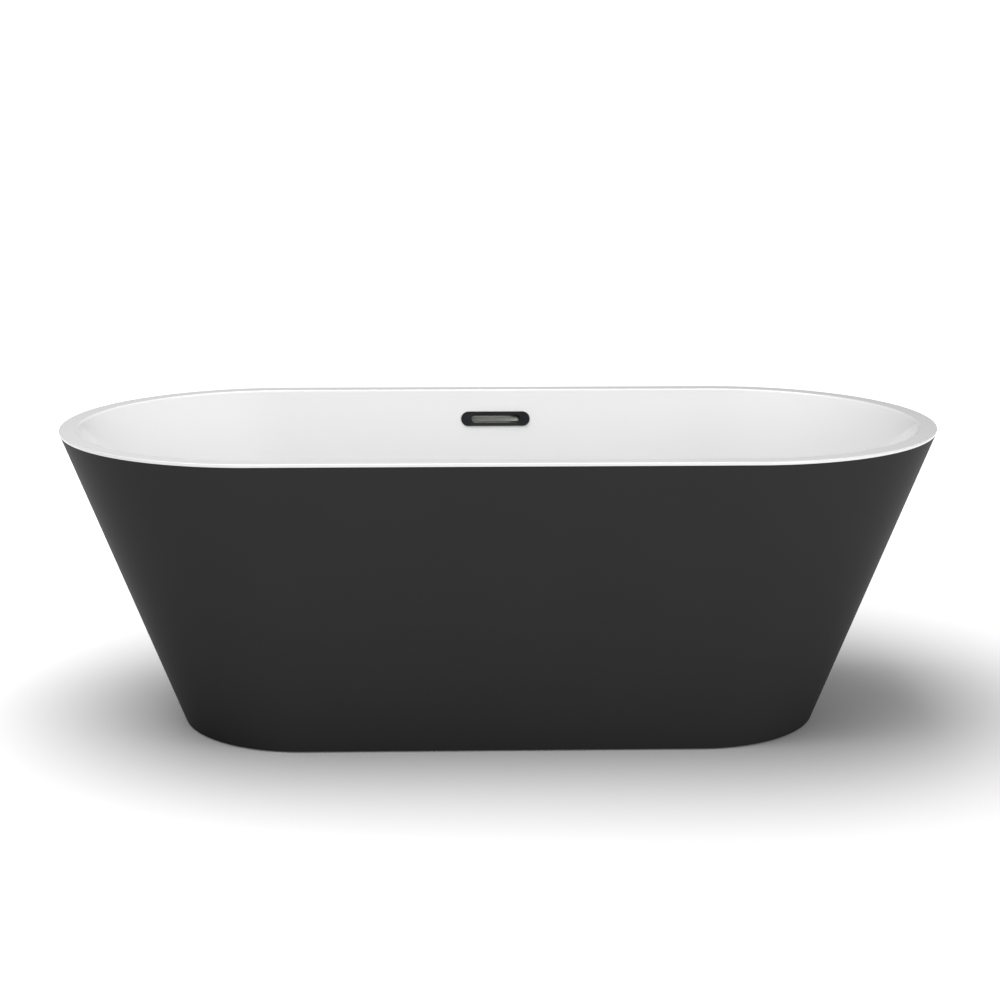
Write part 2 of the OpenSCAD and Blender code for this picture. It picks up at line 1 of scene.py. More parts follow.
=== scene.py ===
# %% [markdown]
# A freestanding bathtub, finished around its CAD model.
# The real tub is a white acrylic basin bonded into a flared black skirt. Under it are a plywood board, a
# steel frame with levelling feet, and the waste pipework. The CAD model already has every piece at its
# real size. This script loads it as a fixed frame, makes smooth versions of the pieces that are seen, and
# gives every piece a finish. All lengths are in metres.
# %% Load the frame
import json
import math

import bmesh
import bpy
from mathutils import Matrix, Vector


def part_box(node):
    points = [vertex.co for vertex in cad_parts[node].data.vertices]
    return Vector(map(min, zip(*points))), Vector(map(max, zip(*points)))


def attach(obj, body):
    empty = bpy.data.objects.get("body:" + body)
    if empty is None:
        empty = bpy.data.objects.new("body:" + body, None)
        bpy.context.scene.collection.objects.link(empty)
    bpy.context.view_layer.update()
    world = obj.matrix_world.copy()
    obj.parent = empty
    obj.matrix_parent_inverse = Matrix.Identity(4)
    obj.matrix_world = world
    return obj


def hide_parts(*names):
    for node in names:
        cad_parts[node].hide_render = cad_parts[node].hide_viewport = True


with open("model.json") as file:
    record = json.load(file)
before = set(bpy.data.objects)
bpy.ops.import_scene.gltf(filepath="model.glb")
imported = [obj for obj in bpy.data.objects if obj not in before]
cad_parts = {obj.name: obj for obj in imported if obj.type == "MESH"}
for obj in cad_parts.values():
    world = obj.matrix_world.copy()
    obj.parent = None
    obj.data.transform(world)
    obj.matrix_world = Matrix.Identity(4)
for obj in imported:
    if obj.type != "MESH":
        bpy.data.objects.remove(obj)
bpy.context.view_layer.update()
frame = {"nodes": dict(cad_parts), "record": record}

nodes = frame["nodes"]
MM = 0.001

# %% [markdown]
# The CAD nodes arrive with flat colours. They are cleared, so that the finishes made below can carry the
# same plain names.
# %% Clear the flat colours
for flat_colour in list(bpy.data.materials):
    bpy.data.materials.remove(flat_colour)

# %% [markdown]
# The camera comes first, because it decides which details matter.
# A view is easiest to describe as a point to look at, a direction from which to look, and a lens. A long
# lens from a few metres away keeps the rim's ellipse calm, as in a catalogue picture. The camera is turned
# with a track quaternion, which points its -Z axis at the aim and keeps its top up.
# %% Camera
CAMERA_PLACE = Vector((-0.0904, -3.8097, 1.3105))
CAMERA_AIM = Vector((0.0014, 0.0, 0.4319))
CAMERA_LENS = 71.39
SENSOR_WIDTH = 36.0


def add_camera():
    """Puts the camera in place and makes it the scene's own."""
    data = bpy.data.cameras.new("camera")
    data.lens = CAMERA_LENS
    data.sensor_width = SENSOR_WIDTH
    camera = bpy.data.objects.new("camera", data)
    camera.location = CAMERA_PLACE
    camera.rotation_euler = (CAMERA_AIM - CAMERA_PLACE).to_track_quat("-Z", "Y").to_euler()
    bpy.context.scene.collection.objects.link(camera)
    bpy.context.scene.camera = camera
    return camera


camera = add_camera()
print("camera", [round(x, 3) for x in camera.location])

# %% [markdown]
# Light for a white tub on a white floor.
# White on white is only readable where the light differs from side to side. A wide soft box overhead lights
# the floor and leaves a soft shadow under the flared skirt. A lower one from the front right brightens the
# far wall and the left end, so that the basin's right end stays a little darker and the shape shows. The
# surround looks pure white to the camera but gives less light than that, so the shadows keep their depth.
# %% World and lights
FILL_STRENGTH = 0.22
SEEN_STRENGTH = 1.05
OVERHEAD_PLACE = Vector((-0.6, -0.35, 3.4))
OVERHEAD_SIZE = 2.9
OVERHEAD_POWER = 128.0
KEY_PLACE = Vector((2.3, -3.9, 1.5))
KEY_AIM = Vector((0.0, 0.0, 0.45))
KEY_SIZE = 1.5
KEY_POWER = 88.0


def add_world():
    """A white surround: one strength where the camera sees it, a lower one for its light."""
    world = bpy.data.worlds.new("studio")
    world.use_nodes = True
    tree = world.node_tree
    background = tree.nodes["Background"]
    background.inputs["Color"].default_value = (1.0, 1.0, 1.0, 1.0)
    seen = tree.nodes.new("ShaderNodeLightPath").outputs["Is Camera Ray"]
    strength = tree.nodes.new("ShaderNodeMapRange")
    strength.inputs["To Min"].default_value = FILL_STRENGTH
    strength.inputs["To Max"].default_value = SEEN_STRENGTH
    tree.links.new(seen, strength.inputs["Value"])
    tree.links.new(strength.outputs["Result"], background.inputs["Strength"])
    bpy.context.scene.world = world


def add_area_light(name, place, aim, size, power):
    """A square soft light at a place, turned to an aim."""
    data = bpy.data.lights.new(name, "AREA")
    data.size = size
    data.energy = power
    light = bpy.data.objects.new(name, data)
    light.location = place
    light.rotation_euler = (aim - place).to_track_quat("-Z", "Y").to_euler()
    bpy.context.scene.collection.objects.link(light)
    return light


add_world()
straight_down = Vector((OVERHEAD_PLACE.x, OVERHEAD_PLACE.y, 0.0))
add_area_light("overhead", OVERHEAD_PLACE, straight_down, OVERHEAD_SIZE, OVERHEAD_POWER)
key_light = add_area_light("key", KEY_PLACE, KEY_AIM, KEY_SIZE, KEY_POWER)
bpy.context.scene.view_settings.view_transform = "Standard"
print("lights", OVERHEAD_POWER, KEY_POWER)

# %% [markdown]
# The node helpers.
# Shader and geometry trees in this script are made of many small nodes. Three short helpers keep them
# readable: one adds a node with its settings and input values, one joins sockets, and one does a sum on
# sockets or numbers. The links could also be written out one by one, which takes several lines for each
# sum and hides the formula.
# %% Node helpers


def add_node(tree, kind, values=None, **settings):
    """Adds a node, sets its properties, then its unlinked inputs by name or number."""
    node = tree.nodes.new(kind)
    for name, value in settings.items():
        setattr(node, name, value)
    for key, value in (values or {}).items():
        node.inputs[key].default_value = value
    return node


def join(tree, source, target):
    """Links an output socket to an input socket."""
    tree.links.new(source, target)


def math_node(tree, operation, *terms):
    """A Math node whose terms are sockets or numbers. Returns its output."""
    node = add_node(tree, "ShaderNodeMath", operation=operation)
    for place, term in enumerate(terms):
        if isinstance(term, (int, float)):
            node.inputs[place].default_value = term
        else:
            join(tree, term, node.inputs[place])
    return node.outputs[0]


# %% [markdown]
# Effects that several finishes share.
# Real surfaces are never one even colour. Plastics are a little cloudy and their gloss varies, steel is
# drawn or brushed along its length, and whatever faces up gathers dust. Each effect is a shader node group
# with its own inputs, so that it is built once and each material sets its own strength. The groups put out
# colours, masks and heights only, and the shader itself stays in the material.
# %% Shader group: mottle


def new_group(name, inputs, outputs):
    """A shader node group with named sockets, each given as (name, socket type, default)."""
    group = bpy.data.node_groups.new(name, "ShaderNodeTree")
    for label, kind, value in inputs:
        socket = group.interface.new_socket(label, in_out="INPUT", socket_type=kind)
        socket.default_value = value
    for label, kind in outputs:
        group.interface.new_socket(label, in_out="OUTPUT", socket_type=kind)
    return group, add_node(group, "NodeGroupInput"), add_node(group, "NodeGroupOutput")


def make_mottle():
    """Slow changes of tone and gloss, with a fine grain in the height."""
    group, given, result = new_group(
        "mottle",
        [
            ("Color", "NodeSocketColor", (0.5, 0.5, 0.5, 1.0)),
            ("Tone Change", "NodeSocketFloat", 0.05),
            ("Roughness", "NodeSocketFloat", 0.4),
            ("Roughness Change", "NodeSocketFloat", 0.05),
            ("Cloud Scale", "NodeSocketFloat", 6.0),
            ("Grain Scale", "NodeSocketFloat", 900.0),
        ],
        [("Color", "NodeSocketColor"), ("Roughness", "NodeSocketFloat"), ("Height", "NodeSocketFloat")],
    )
    place = add_node(group, "ShaderNodeTexCoord").outputs["Object"]
    cloud = add_node(group, "ShaderNodeTexNoise", {"Detail": 4.0, "Roughness": 0.6})
    grain = add_node(group, "ShaderNodeTexNoise", {"Detail": 2.0, "Roughness": 0.5})
    join(group, place, cloud.inputs["Vector"])
    join(group, place, grain.inputs["Vector"])
    join(group, given.outputs["Cloud Scale"], cloud.inputs["Scale"])
    join(group, given.outputs["Grain Scale"], grain.inputs["Scale"])
    centred = math_node(group, "SUBTRACT", cloud.outputs["Fac"], 0.5)
    brightness = math_node(
        group, "ADD", math_node(group, "MULTIPLY", centred, given.outputs["Tone Change"]), 1.0
    )
    shade = add_node(group, "ShaderNodeVectorMath", operation="SCALE")
    join(group, given.outputs["Color"], shade.inputs[0])
    join(group, brightness, shade.inputs["Scale"])
    join(group, shade.outputs[0], result.inputs["Color"])
    gloss = math_node(group, "MULTIPLY", centred, given.outputs["Roughness Change"])
    join(group, math_node(group, "ADD", gloss, given.outputs["Roughness"]), result.inputs["Roughness"])
    join(group, grain.outputs["Fac"], result.inputs["Height"])
    return group


mottle = make_mottle()
print("mottle inputs", len(mottle.interface.items_tree))

# %% [markdown]
# Dust lies where a surface faces up, and more so where the air is still. The mask is the upward part of
# the surface's normal, broken up by noise. It only shows on the hidden tops of the frame and the pipework.
# %% Shader group: dust


def make_dust():
    """A mask that is 1 where dust lies."""
    group, given, result = new_group(
        "dust",
        [("Amount", "NodeSocketFloat", 0.5), ("Scale", "NodeSocketFloat", 25.0)],
        [("Mask", "NodeSocketFloat")],
    )
    geometry = add_node(group, "ShaderNodeNewGeometry")
    split = add_node(group, "ShaderNodeSeparateXYZ")
    join(group, geometry.outputs["Normal"], split.inputs[0])
    noise = add_node(group, "ShaderNodeTexNoise", {"Detail": 5.0, "Roughness": 0.65})
    place = add_node(group, "ShaderNodeTexCoord").outputs["Object"]
    join(group, place, noise.inputs["Vector"])
    join(group, given.outputs["Scale"], noise.inputs["Scale"])
    upward = math_node(group, "MAXIMUM", split.outputs["Z"], 0.0)
    broken = math_node(group, "MULTIPLY", upward, noise.outputs["Fac"])
    join(group, math_node(group, "MULTIPLY", broken, given.outputs["Amount"]), result.inputs["Mask"])
    return group


dust = make_dust()
print("group", dust.name)

# %% [markdown]
# Brushed and drawn metal has fine lines along one direction. Noise that is stretched many times along an
# axis gives them, and they go into both the gloss and a faint bump.
# %% Shader group: drawn lines


def make_drawn_lines():
    """Fine lines along an axis: Stretch shrinks the pattern along X, Y and Z."""
    group, given, result = new_group(
        "drawn_lines",
        [
            ("Stretch", "NodeSocketVector", (0.02, 1.0, 1.0)),
            ("Scale", "NodeSocketFloat", 1500.0),
            ("Roughness", "NodeSocketFloat", 0.3),
            ("Roughness Change", "NodeSocketFloat", 0.15),
        ],
        [("Roughness", "NodeSocketFloat"), ("Height", "NodeSocketFloat")],
    )
    place = add_node(group, "ShaderNodeTexCoord").outputs["Object"]
    squeeze = add_node(group, "ShaderNodeVectorMath", operation="MULTIPLY")
    join(group, place, squeeze.inputs[0])
    join(group, given.outputs["Stretch"], squeeze.inputs[1])
    noise = add_node(group, "ShaderNodeTexNoise", {"Detail": 3.0, "Roughness": 0.6})
    join(group, squeeze.outputs[0], noise.inputs["Vector"])
    join(group, given.outputs["Scale"], noise.inputs["Scale"])
    change = math_node(group, "MULTIPLY", noise.outputs["Fac"], given.outputs["Roughness Change"])
    join(group, math_node(group, "ADD", change, given.outputs["Roughness"]), result.inputs["Roughness"])
    join(group, noise.outputs["Fac"], result.inputs["Height"])
    return group


drawn_lines = make_drawn_lines()
print("group", drawn_lines.name)

# %% [markdown]
# Finishes.
# A material is a Principled shader fed by the groups. The helper below starts every one: it sets the
# shader's constant values on its own sockets. The helpers after it add the mottle group and join a Bump node.
# %% Material helpers


def start_material(name, metallic=0.0, **constants):
    """A new material with its Principled shader. Constants are shader inputs, with _ for a space."""
    material = bpy.data.materials.new(name)
    material.use_nodes = True
    tree = material.node_tree
    shader = tree.nodes["Principled BSDF"]
    shader.inputs["Metallic"].default_value = metallic
    for key, value in constants.items():
        shader.inputs[key.replace("_", " ")].default_value = value
    return material, tree, shader


def add_bump(tree, shader, height, strength, distance):
    """Feeds a height to the shader's normal through a Bump node."""
    bump = add_node(tree, "ShaderNodeBump", {"Strength": strength, "Distance": distance})
    join(tree, height, bump.inputs["Height"])
    join(tree, bump.outputs["Normal"], shader.inputs["Normal"])
    return bump


def two_tones(tree, factor, dark, light, start=0.0, end=1.0):
    """A colour between two tones, as a factor runs from start to end."""
    ramp = add_node(tree, "ShaderNodeValToRGB")
    for element, place, tone in zip(ramp.color_ramp.elements, (start, end), (dark, light)):
        element.position = place
        element.color = (*tone, 1.0)
    join(tree, factor, ramp.inputs["Fac"])
    return ramp.outputs["Color"]


def add_group(tree, group, values):
    """Places a shader node group and sets its inputs."""
    node = add_node(tree, "ShaderNodeGroup", node_tree=group)
    for key, value in values.items():
        node.inputs[key].default_value = value
    return node


def plastic(name, color, tone, roughness, gloss_change, cloud, grain, bump, dusty=0.0, **constants):
    """A moulded or cast plastic, rubber or paint: mottled, finely grained, and dusty on top if asked."""
    material, tree, shader = start_material(name, **constants)
    base = add_group(tree, mottle, {
        "Color": (*color, 1.0),
        "Tone Change": tone,
        "Roughness": roughness,
        "Roughness Change": gloss_change,
        "Cloud Scale": cloud,
        "Grain Scale": grain,
    })
    join(tree, base.outputs["Roughness"], shader.inputs["Roughness"])
    add_bump(tree, shader, base.outputs["Height"], bump, 0.1 * MM)
    if dusty:
        mask = add_group(tree, dust, {"Amount": dusty})
        cover = add_node(tree, "ShaderNodeMix", data_type="RGBA")
        cover.inputs["B"].default_value = (0.46, 0.44, 0.41, 1.0)
        join(tree, mask.outputs["Mask"], cover.inputs["Factor"])
        join(tree, base.outputs["Color"], cover.inputs["A"])
        join(tree, cover.outputs["Result"], shader.inputs["Base Color"])
    else:
        join(tree, base.outputs["Color"], shader.inputs["Base Color"])
    return material


def metal(name, color, tone, roughness, gloss_change, stretch, bump, scale=1500.0):
    """A drawn, brushed or plated metal."""
    material, tree, shader = start_material(name, metallic=1.0)
    base = add_group(tree, mottle, {
        "Color": (*color, 1.0), "Tone Change": tone, "Cloud Scale": 20.0, "Grain Scale": 1200.0,
    })
    lines = add_group(tree, drawn_lines, {
        "Stretch": stretch, "Scale": scale, "Roughness": roughness, "Roughness Change": gloss_change,
    })
    join(tree, base.outputs["Color"], shader.inputs["Base Color"])
    join(tree, lines.outputs["Roughness"], shader.inputs["Roughness"])
    add_bump(tree, shader, lines.outputs["Height"], bump, 0.05 * MM)
    return material


# %% [markdown]
# The two acrylics carry the picture. The white basin is cast and polished: nearly even in colour, with a
# clear glossy coat, and so flat that only a faint, slow waviness of the sheet shows in its reflections. The
# black skirt is satin, with a fine tooth that spreads its highlights.
# %% Acrylics
white_acrylic = plastic(
    "white_acrylic", (0.71, 0.71, 0.71), tone=0.012, roughness=0.22, gloss_change=0.04,
    cloud=3.0, grain=14.0, bump=0.03,
    Coat_Weight=0.35, Coat_Roughness=0.06,
)
black_acrylic = plastic(
    "black_acrylic", (0.027, 0.027, 0.0275), tone=0.10, roughness=0.50, gloss_change=0.05,
    cloud=5.0, grain=1400.0, bump=0.25,
    Specular_IOR_Level=0.03,
)

# %% [markdown]
# The overflow's face and the drain are brass plated in a dark gunmetal. It is a metal finish with a low,
# slightly uneven gloss. The strip in the overflow's mouth is brushed steel along its length.
# %% Plated brass and steel
black_metal = metal(
    "black_metal", (0.030, 0.031, 0.034), tone=0.20, roughness=0.34, gloss_change=0.10,
    stretch=(1.0, 1.0, 1.0), bump=0.10, scale=700.0,
)
satin_steel = metal(
    "satin_steel", (0.30, 0.31, 0.28), tone=0.08, roughness=0.28, gloss_change=0.18,
    stretch=(0.02, 1.0, 1.0), bump=0.20,
)
chrome = metal(
    "chrome", (0.80, 0.80, 0.81), tone=0.02, roughness=0.06, gloss_change=0.04,
    stretch=(1.0, 1.0, 0.05), bump=0.02,
)
zinc_steel = metal(
    "zinc_steel", (0.66, 0.68, 0.70), tone=0.15, roughness=0.28, gloss_change=0.15,
    stretch=(1.0, 1.0, 0.3), bump=0.15, scale=600.0,
)
yellow_zinc = metal(
    "yellow_zinc", (0.70, 0.56, 0.28), tone=0.25, roughness=0.30, gloss_change=0.15,
    stretch=(1.0, 1.0, 1.0), bump=0.15, scale=600.0,
)

# %% [markdown]
# Plain moulded parts: ABS pipework, nylon feet, acetal nuts, rubber seals, the soft hose and the bead of
# adhesive. They share one recipe and differ in colour, gloss and grain.
# %% Moulded parts and rubber
pipe_plastic = plastic(
    "pipe_plastic", (0.022, 0.022, 0.023), tone=0.25, roughness=0.38, gloss_change=0.10,
    cloud=30.0, grain=700.0, bump=0.20, dusty=0.55,
)
foot_plastic = plastic(
    "foot_plastic", (0.028, 0.028, 0.029), tone=0.30, roughness=0.50, gloss_change=0.10,
    cloud=40.0, grain=500.0, bump=0.35, dusty=0.55,
)
white_plastic = plastic(
    "white_plastic", (0.76, 0.76, 0.73), tone=0.06, roughness=0.35, gloss_change=0.08,
    cloud=30.0, grain=600.0, bump=0.15, dusty=0.4,
)
black_rubber = plastic(
    "black_rubber", (0.018, 0.018, 0.018), tone=0.30, roughness=0.62, gloss_change=0.10,
    cloud=50.0, grain=400.0, bump=0.35,
)
hose_plastic = plastic(
    "hose_plastic", (0.66, 0.67, 0.68), tone=0.06, roughness=0.36, gloss_change=0.08,
    cloud=30.0, grain=500.0, bump=0.12, dusty=0.35,
)
adhesive = plastic(
    "adhesive", (0.70, 0.70, 0.66), tone=0.10, roughness=0.55, gloss_change=0.10,
    cloud=60.0, grain=160.0, bump=0.6,
)

# %% [markdown]
# Glass fibre laminate is chopped strands wetted with resin. Stretched cells at three angles give the lie
# of the strands, and the resin's colour changes slowly from one place to the next.
# %% Glass fibre
STRAND_ANGLES = (0.35, 1.35, 2.45)


def make_glass_fibre():
    """Chopped strands under a rough coat of resin."""
    material, tree, shader = start_material("glass_fibre", Specular_IOR_Level=0.45)
    place = add_node(tree, "ShaderNodeTexCoord").outputs["Object"]
    layers = []
    for angle in STRAND_ANGLES:
        turn = add_node(tree, "ShaderNodeMapping", {"Rotation": (angle, angle * 0.7, angle)})
        turn.inputs["Scale"].default_value = (60.0, 900.0, 900.0)
        join(tree, place, turn.inputs["Vector"])
        strand = add_node(tree, "ShaderNodeTexNoise", {"Scale": 1.0, "Detail": 2.0})
        join(tree, turn.outputs[0], strand.inputs["Vector"])
        layers.append(strand.outputs["Fac"])
    top = math_node(tree, "MAXIMUM", math_node(tree, "MAXIMUM", layers[0], layers[1]), layers[2])
    resin = two_tones(tree, top, (0.33, 0.30, 0.19), (0.66, 0.62, 0.48), start=0.45, end=0.78)
    join(tree, resin, shader.inputs["Base Color"])
    join(tree, math_node(tree, "SUBTRACT", 0.95, math_node(tree, "MULTIPLY", top, 0.7)),
         shader.inputs["Roughness"])
    add_bump(tree, shader, top, 0.8, 0.8 * MM)
    return material


glass_fibre = make_glass_fibre()

# %% [markdown]
# Plywood shows long grain on its face and thin plies on its edge. The grain is noise drawn out along the
# board, and the plies are bands by height. The bands only show where the surface stands upright.
# %% Plywood
PLY_THICKNESS = 2.5 * MM


def make_plywood():
    """Birch plywood: grain along X, with plies on the edges."""
    material, tree, shader = start_material("plywood", Specular_IOR_Level=0.35)
    place = add_node(tree, "ShaderNodeTexCoord").outputs["Object"]
    squeeze = add_node(tree, "ShaderNodeMapping")
    squeeze.inputs["Scale"].default_value = (5.0, 110.0, 110.0)
    join(tree, place, squeeze.inputs["Vector"])
    grain = add_node(tree, "ShaderNodeTexNoise", {"Scale": 1.0, "Detail": 6.0, "Distortion": 0.6})
    join(tree, squeeze.outputs[0], grain.inputs["Vector"])
    veneer = two_tones(
        tree, grain.outputs["Fac"], (0.36, 0.22, 0.11), (0.62, 0.45, 0.27), start=0.30, end=0.72
    )
    split = add_node(tree, "ShaderNodeSeparateXYZ")
    join(tree, place, split.inputs[0])
    ply = math_node(tree, "PINGPONG", split.outputs["Z"], PLY_THICKNESS)
    dark_ply = math_node(tree, "GREATER_THAN", ply, PLY_THICKNESS / 2)
    facing = add_node(tree, "ShaderNodeSeparateXYZ")
    join(tree, add_node(tree, "ShaderNodeNewGeometry").outputs["Normal"], facing.inputs[0])
    upright = math_node(tree, "LESS_THAN", math_node(tree, "ABSOLUTE", facing.outputs["Z"]), 0.7)
    cover = add_node(tree, "ShaderNodeMix", data_type="RGBA", blend_type="MULTIPLY")
    cover.inputs["B"].default_value = (0.55, 0.48, 0.42, 1.0)
    join(tree, math_node(tree, "MULTIPLY", dark_ply, upright), cover.inputs["Factor"])
    join(tree, veneer, cover.inputs["A"])
    join(tree, cover.outputs["Result"], shader.inputs["Base Color"])
    join(tree, math_node(tree, "ADD", math_node(tree, "MULTIPLY", grain.outputs["Fac"], 0.25), 0.45),
         shader.inputs["Roughness"])
    add_bump(tree, shader, grain.outputs["Fac"], 0.5, 0.3 * MM)
    return material


plywood = make_plywood()

# %% [markdown]
# Hot-dip galvanising leaves a spangle: crystals a few millimetres across, each with its own shade and
# gloss. Voronoi cells make the crystals.
# %% Galvanised steel


def make_galvanised():
    """Zinc spangle on steel tube."""
    material, tree, shader = start_material("galvanised_steel", metallic=0.9)
    place = add_node(tree, "ShaderNodeTexCoord").outputs["Object"]
    cells = add_node(tree, "ShaderNodeTexVoronoi", {"Scale": 130.0, "Randomness": 1.0})
    join(tree, place, cells.inputs["Vector"])
    shade = add_node(tree, "ShaderNodeSeparateColor")
    join(tree, cells.outputs["Color"], shade.inputs[0])
    spangle = two_tones(tree, shade.outputs[0], (0.44, 0.46, 0.48), (0.66, 0.68, 0.70))
    join(tree, spangle, shader.inputs["Base Color"])
    join(tree, math_node(tree, "ADD", math_node(tree, "MULTIPLY", shade.outputs[1], 0.25), 0.28),
         shader.inputs["Roughness"])
    add_bump(tree, shader, cells.outputs["Distance"], 0.15, 0.2 * MM)
    return material


galvanised_steel = make_galvanised()
finishes = {
    m.name: m for m in (
        white_acrylic, black_acrylic, black_metal, satin_steel, chrome, zinc_steel, yellow_zinc,
        pipe_plastic, foot_plastic, white_plastic, black_rubber, hose_plastic, adhesive, glass_fibre,
        plywood, galvanised_steel,
    )
}
print("finishes", len(finishes))

# %% [markdown]
# Every CAD node gets the finish of its material slot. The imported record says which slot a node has, so
# the materials here have the same names as the slots and a loop can place them.
# %% Finish the CAD nodes
slot_of = {part["node"]: part["material_slot"] for part in frame["record"]["subparts"]}
for name, node in nodes.items():
    node.data.materials.clear()
    node.data.materials.append(finishes[slot_of[name]])
print("finished", len(nodes), "nodes")

# %% [markdown]
# One rule for the basin, the skirt and the trims.
# Every level cut through this tub is a pill: two half circles joined by straight lines. A pill is fixed by
# two numbers, the distance from the middle to a half circle's centre and the radius. A wall is then just a
# line of points (centre distance, radius, height), and the surface follows from it. A round part is the
# same with a centre distance of zero. The Geometry Nodes tree below takes such a profile as a mesh of
# loose points, lays a grid with a column for each direction and a row for each profile point, and moves
# every grid point to its place. It could be done with a loft of curves, but a grid has no seams to mend
# and its rows match the profile exactly.
# %% Geometry Nodes: pill loft


def new_geometry_group(name, inputs):
    """A geometry node group with a mesh in and out, and named inputs."""
    group = bpy.data.node_groups.new(name, "GeometryNodeTree")
    group.interface.new_socket("Geometry", in_out="INPUT", socket_type="NodeSocketGeometry")
    for label, kind, value in inputs:
        socket = group.interface.new_socket(label, in_out="INPUT", socket_type=kind)
        if value is not None:
            socket.default_value = value
    group.interface.new_socket("Geometry", in_out="OUTPUT", socket_type="NodeSocketGeometry")
    return group, add_node(group, "NodeGroupInput"), add_node(group, "NodeGroupOutput")


def end_tree(group, geometry, given, result):
    """Smooths, realizes and paints the geometry, and puts it out."""
    smooth = add_node(group, "GeometryNodeSetShadeSmooth")
    real = add_node(group, "GeometryNodeRealizeInstances")
    paint = add_node(group, "GeometryNodeSetMaterial")
    join(group, geometry, smooth.inputs["Geometry"])
    join(group, smooth.outputs[0], real.inputs[0])
    join(group, real.outputs[0], paint.inputs["Geometry"])
    join(group, given.outputs["Material"], paint.inputs["Material"])
    join(group, paint.outputs[0], result.inputs[0])


def make_pill_loft():
    """Surface over pill-shaped rows, one for each point (centre distance, radius, height) of a profile."""
    group, given, result = new_geometry_group("pill_loft", [
        ("End Segments", "NodeSocketInt", 48),
        ("Material", "NodeSocketMaterial", None),
    ])
    segments = given.outputs["End Segments"]
    half_columns = math_node(group, "ADD", segments, 1.0)
    columns = math_node(group, "MULTIPLY", half_columns, 2.0)
    size = add_node(group, "GeometryNodeAttributeDomainSize", component="MESH")
    join(group, given.outputs["Geometry"], size.inputs[0])
    rows = size.outputs["Point Count"]
    grid = add_node(group, "GeometryNodeMeshGrid")
    join(group, math_node(group, "ADD", columns, 1.0), grid.inputs["Vertices X"])
    join(group, rows, grid.inputs["Vertices Y"])
    join(group, columns, grid.inputs["Size X"])
    join(group, math_node(group, "SUBTRACT", rows, 1.0), grid.inputs["Size Y"])
    place = add_node(group, "ShaderNodeSeparateXYZ")
    join(group, add_node(group, "GeometryNodeInputPosition").outputs[0], place.inputs[0])
    column = math_node(group, "ROUND", math_node(group, "ADD", place.outputs["X"],
                                                 math_node(group, "DIVIDE", columns, 2.0)))
    half_height = math_node(group, "DIVIDE", math_node(group, "SUBTRACT", rows, 1.0), 2.0)
    row = math_node(group, "ROUND", math_node(group, "ADD", place.outputs["Y"], half_height))
    turned = math_node(group, "MODULO", column, columns)
    second = math_node(group, "GREATER_THAN", turned, math_node(group, "SUBTRACT", half_columns, 0.5))
    side = math_node(group, "SUBTRACT", 1.0, math_node(group, "MULTIPLY", second, 2.0))
    step = math_node(group, "MODULO", turned, half_columns)
    share = math_node(group, "SUBTRACT", math_node(group, "DIVIDE", step, segments), 0.5)
    angle = math_node(group, "MULTIPLY", share, math.pi)
    sample = add_node(group, "GeometryNodeSampleIndex", data_type="FLOAT_VECTOR")
    join(group, given.outputs["Geometry"], sample.inputs["Geometry"])
    join(group, add_node(group, "GeometryNodeInputPosition").outputs[0], sample.inputs["Value"])
    join(group, row, sample.inputs["Index"])
    profile = add_node(group, "ShaderNodeSeparateXYZ")
    join(group, sample.outputs[0], profile.inputs[0])
    reach = math_node(group, "MULTIPLY", math_node(group, "COSINE", angle), profile.outputs["Y"])
    x = math_node(group, "MULTIPLY", side, math_node(group, "ADD", profile.outputs["X"], reach))
    y = math_node(group, "MULTIPLY", side, math_node(group, "MULTIPLY", math_node(group, "SINE", angle),
                                                     profile.outputs["Y"]))
    point = add_node(group, "ShaderNodeCombineXYZ")
    for socket, value in zip(("X", "Y", "Z"), (x, y, profile.outputs["Z"])):
        join(group, value, point.inputs[socket])
    move = add_node(group, "GeometryNodeSetPosition")
    join(group, grid.outputs["Mesh"], move.inputs["Geometry"])
    join(group, point.outputs[0], move.inputs["Position"])
    weld = add_node(group, "GeometryNodeMergeByDistance", {"Distance": 0.002 * MM})
    join(group, move.outputs[0], weld.inputs["Geometry"])
    end_tree(group, weld.outputs[0], given, result)
    return group


pill_loft = make_pill_loft()
print("tree", pill_loft.name)

# %% [markdown]
# Baking a tree to a mesh.
# A modifier's inputs are set by their socket identifiers before the object is first evaluated. Then the
# evaluated object is turned into a plain mesh and the modifier goes away. The shape's signed volume tells
# whether its faces point outwards, and they are flipped if they don't. Edges sharper than a limit are
# marked, so that smooth shading doesn't smear over them.
# %% Bake helpers
SHARP_ANGLE = math.radians(38)


def link_mesh(name, mesh):
    """A linked object at the origin for a mesh."""
    piece = bpy.data.objects.new(name, mesh)
    bpy.context.scene.collection.objects.link(piece)
    return piece


def point_outwards(mesh):
    """Flips a closed mesh's faces if its signed volume is negative."""
    shape = bmesh.new()
    shape.from_mesh(mesh)
    if shape.calc_volume(signed=True) < 0:
        bmesh.ops.reverse_faces(shape, faces=shape.faces)
    shape.to_mesh(mesh)
    shape.free()
    mesh.set_sharp_from_angle(angle=SHARP_ANGLE)


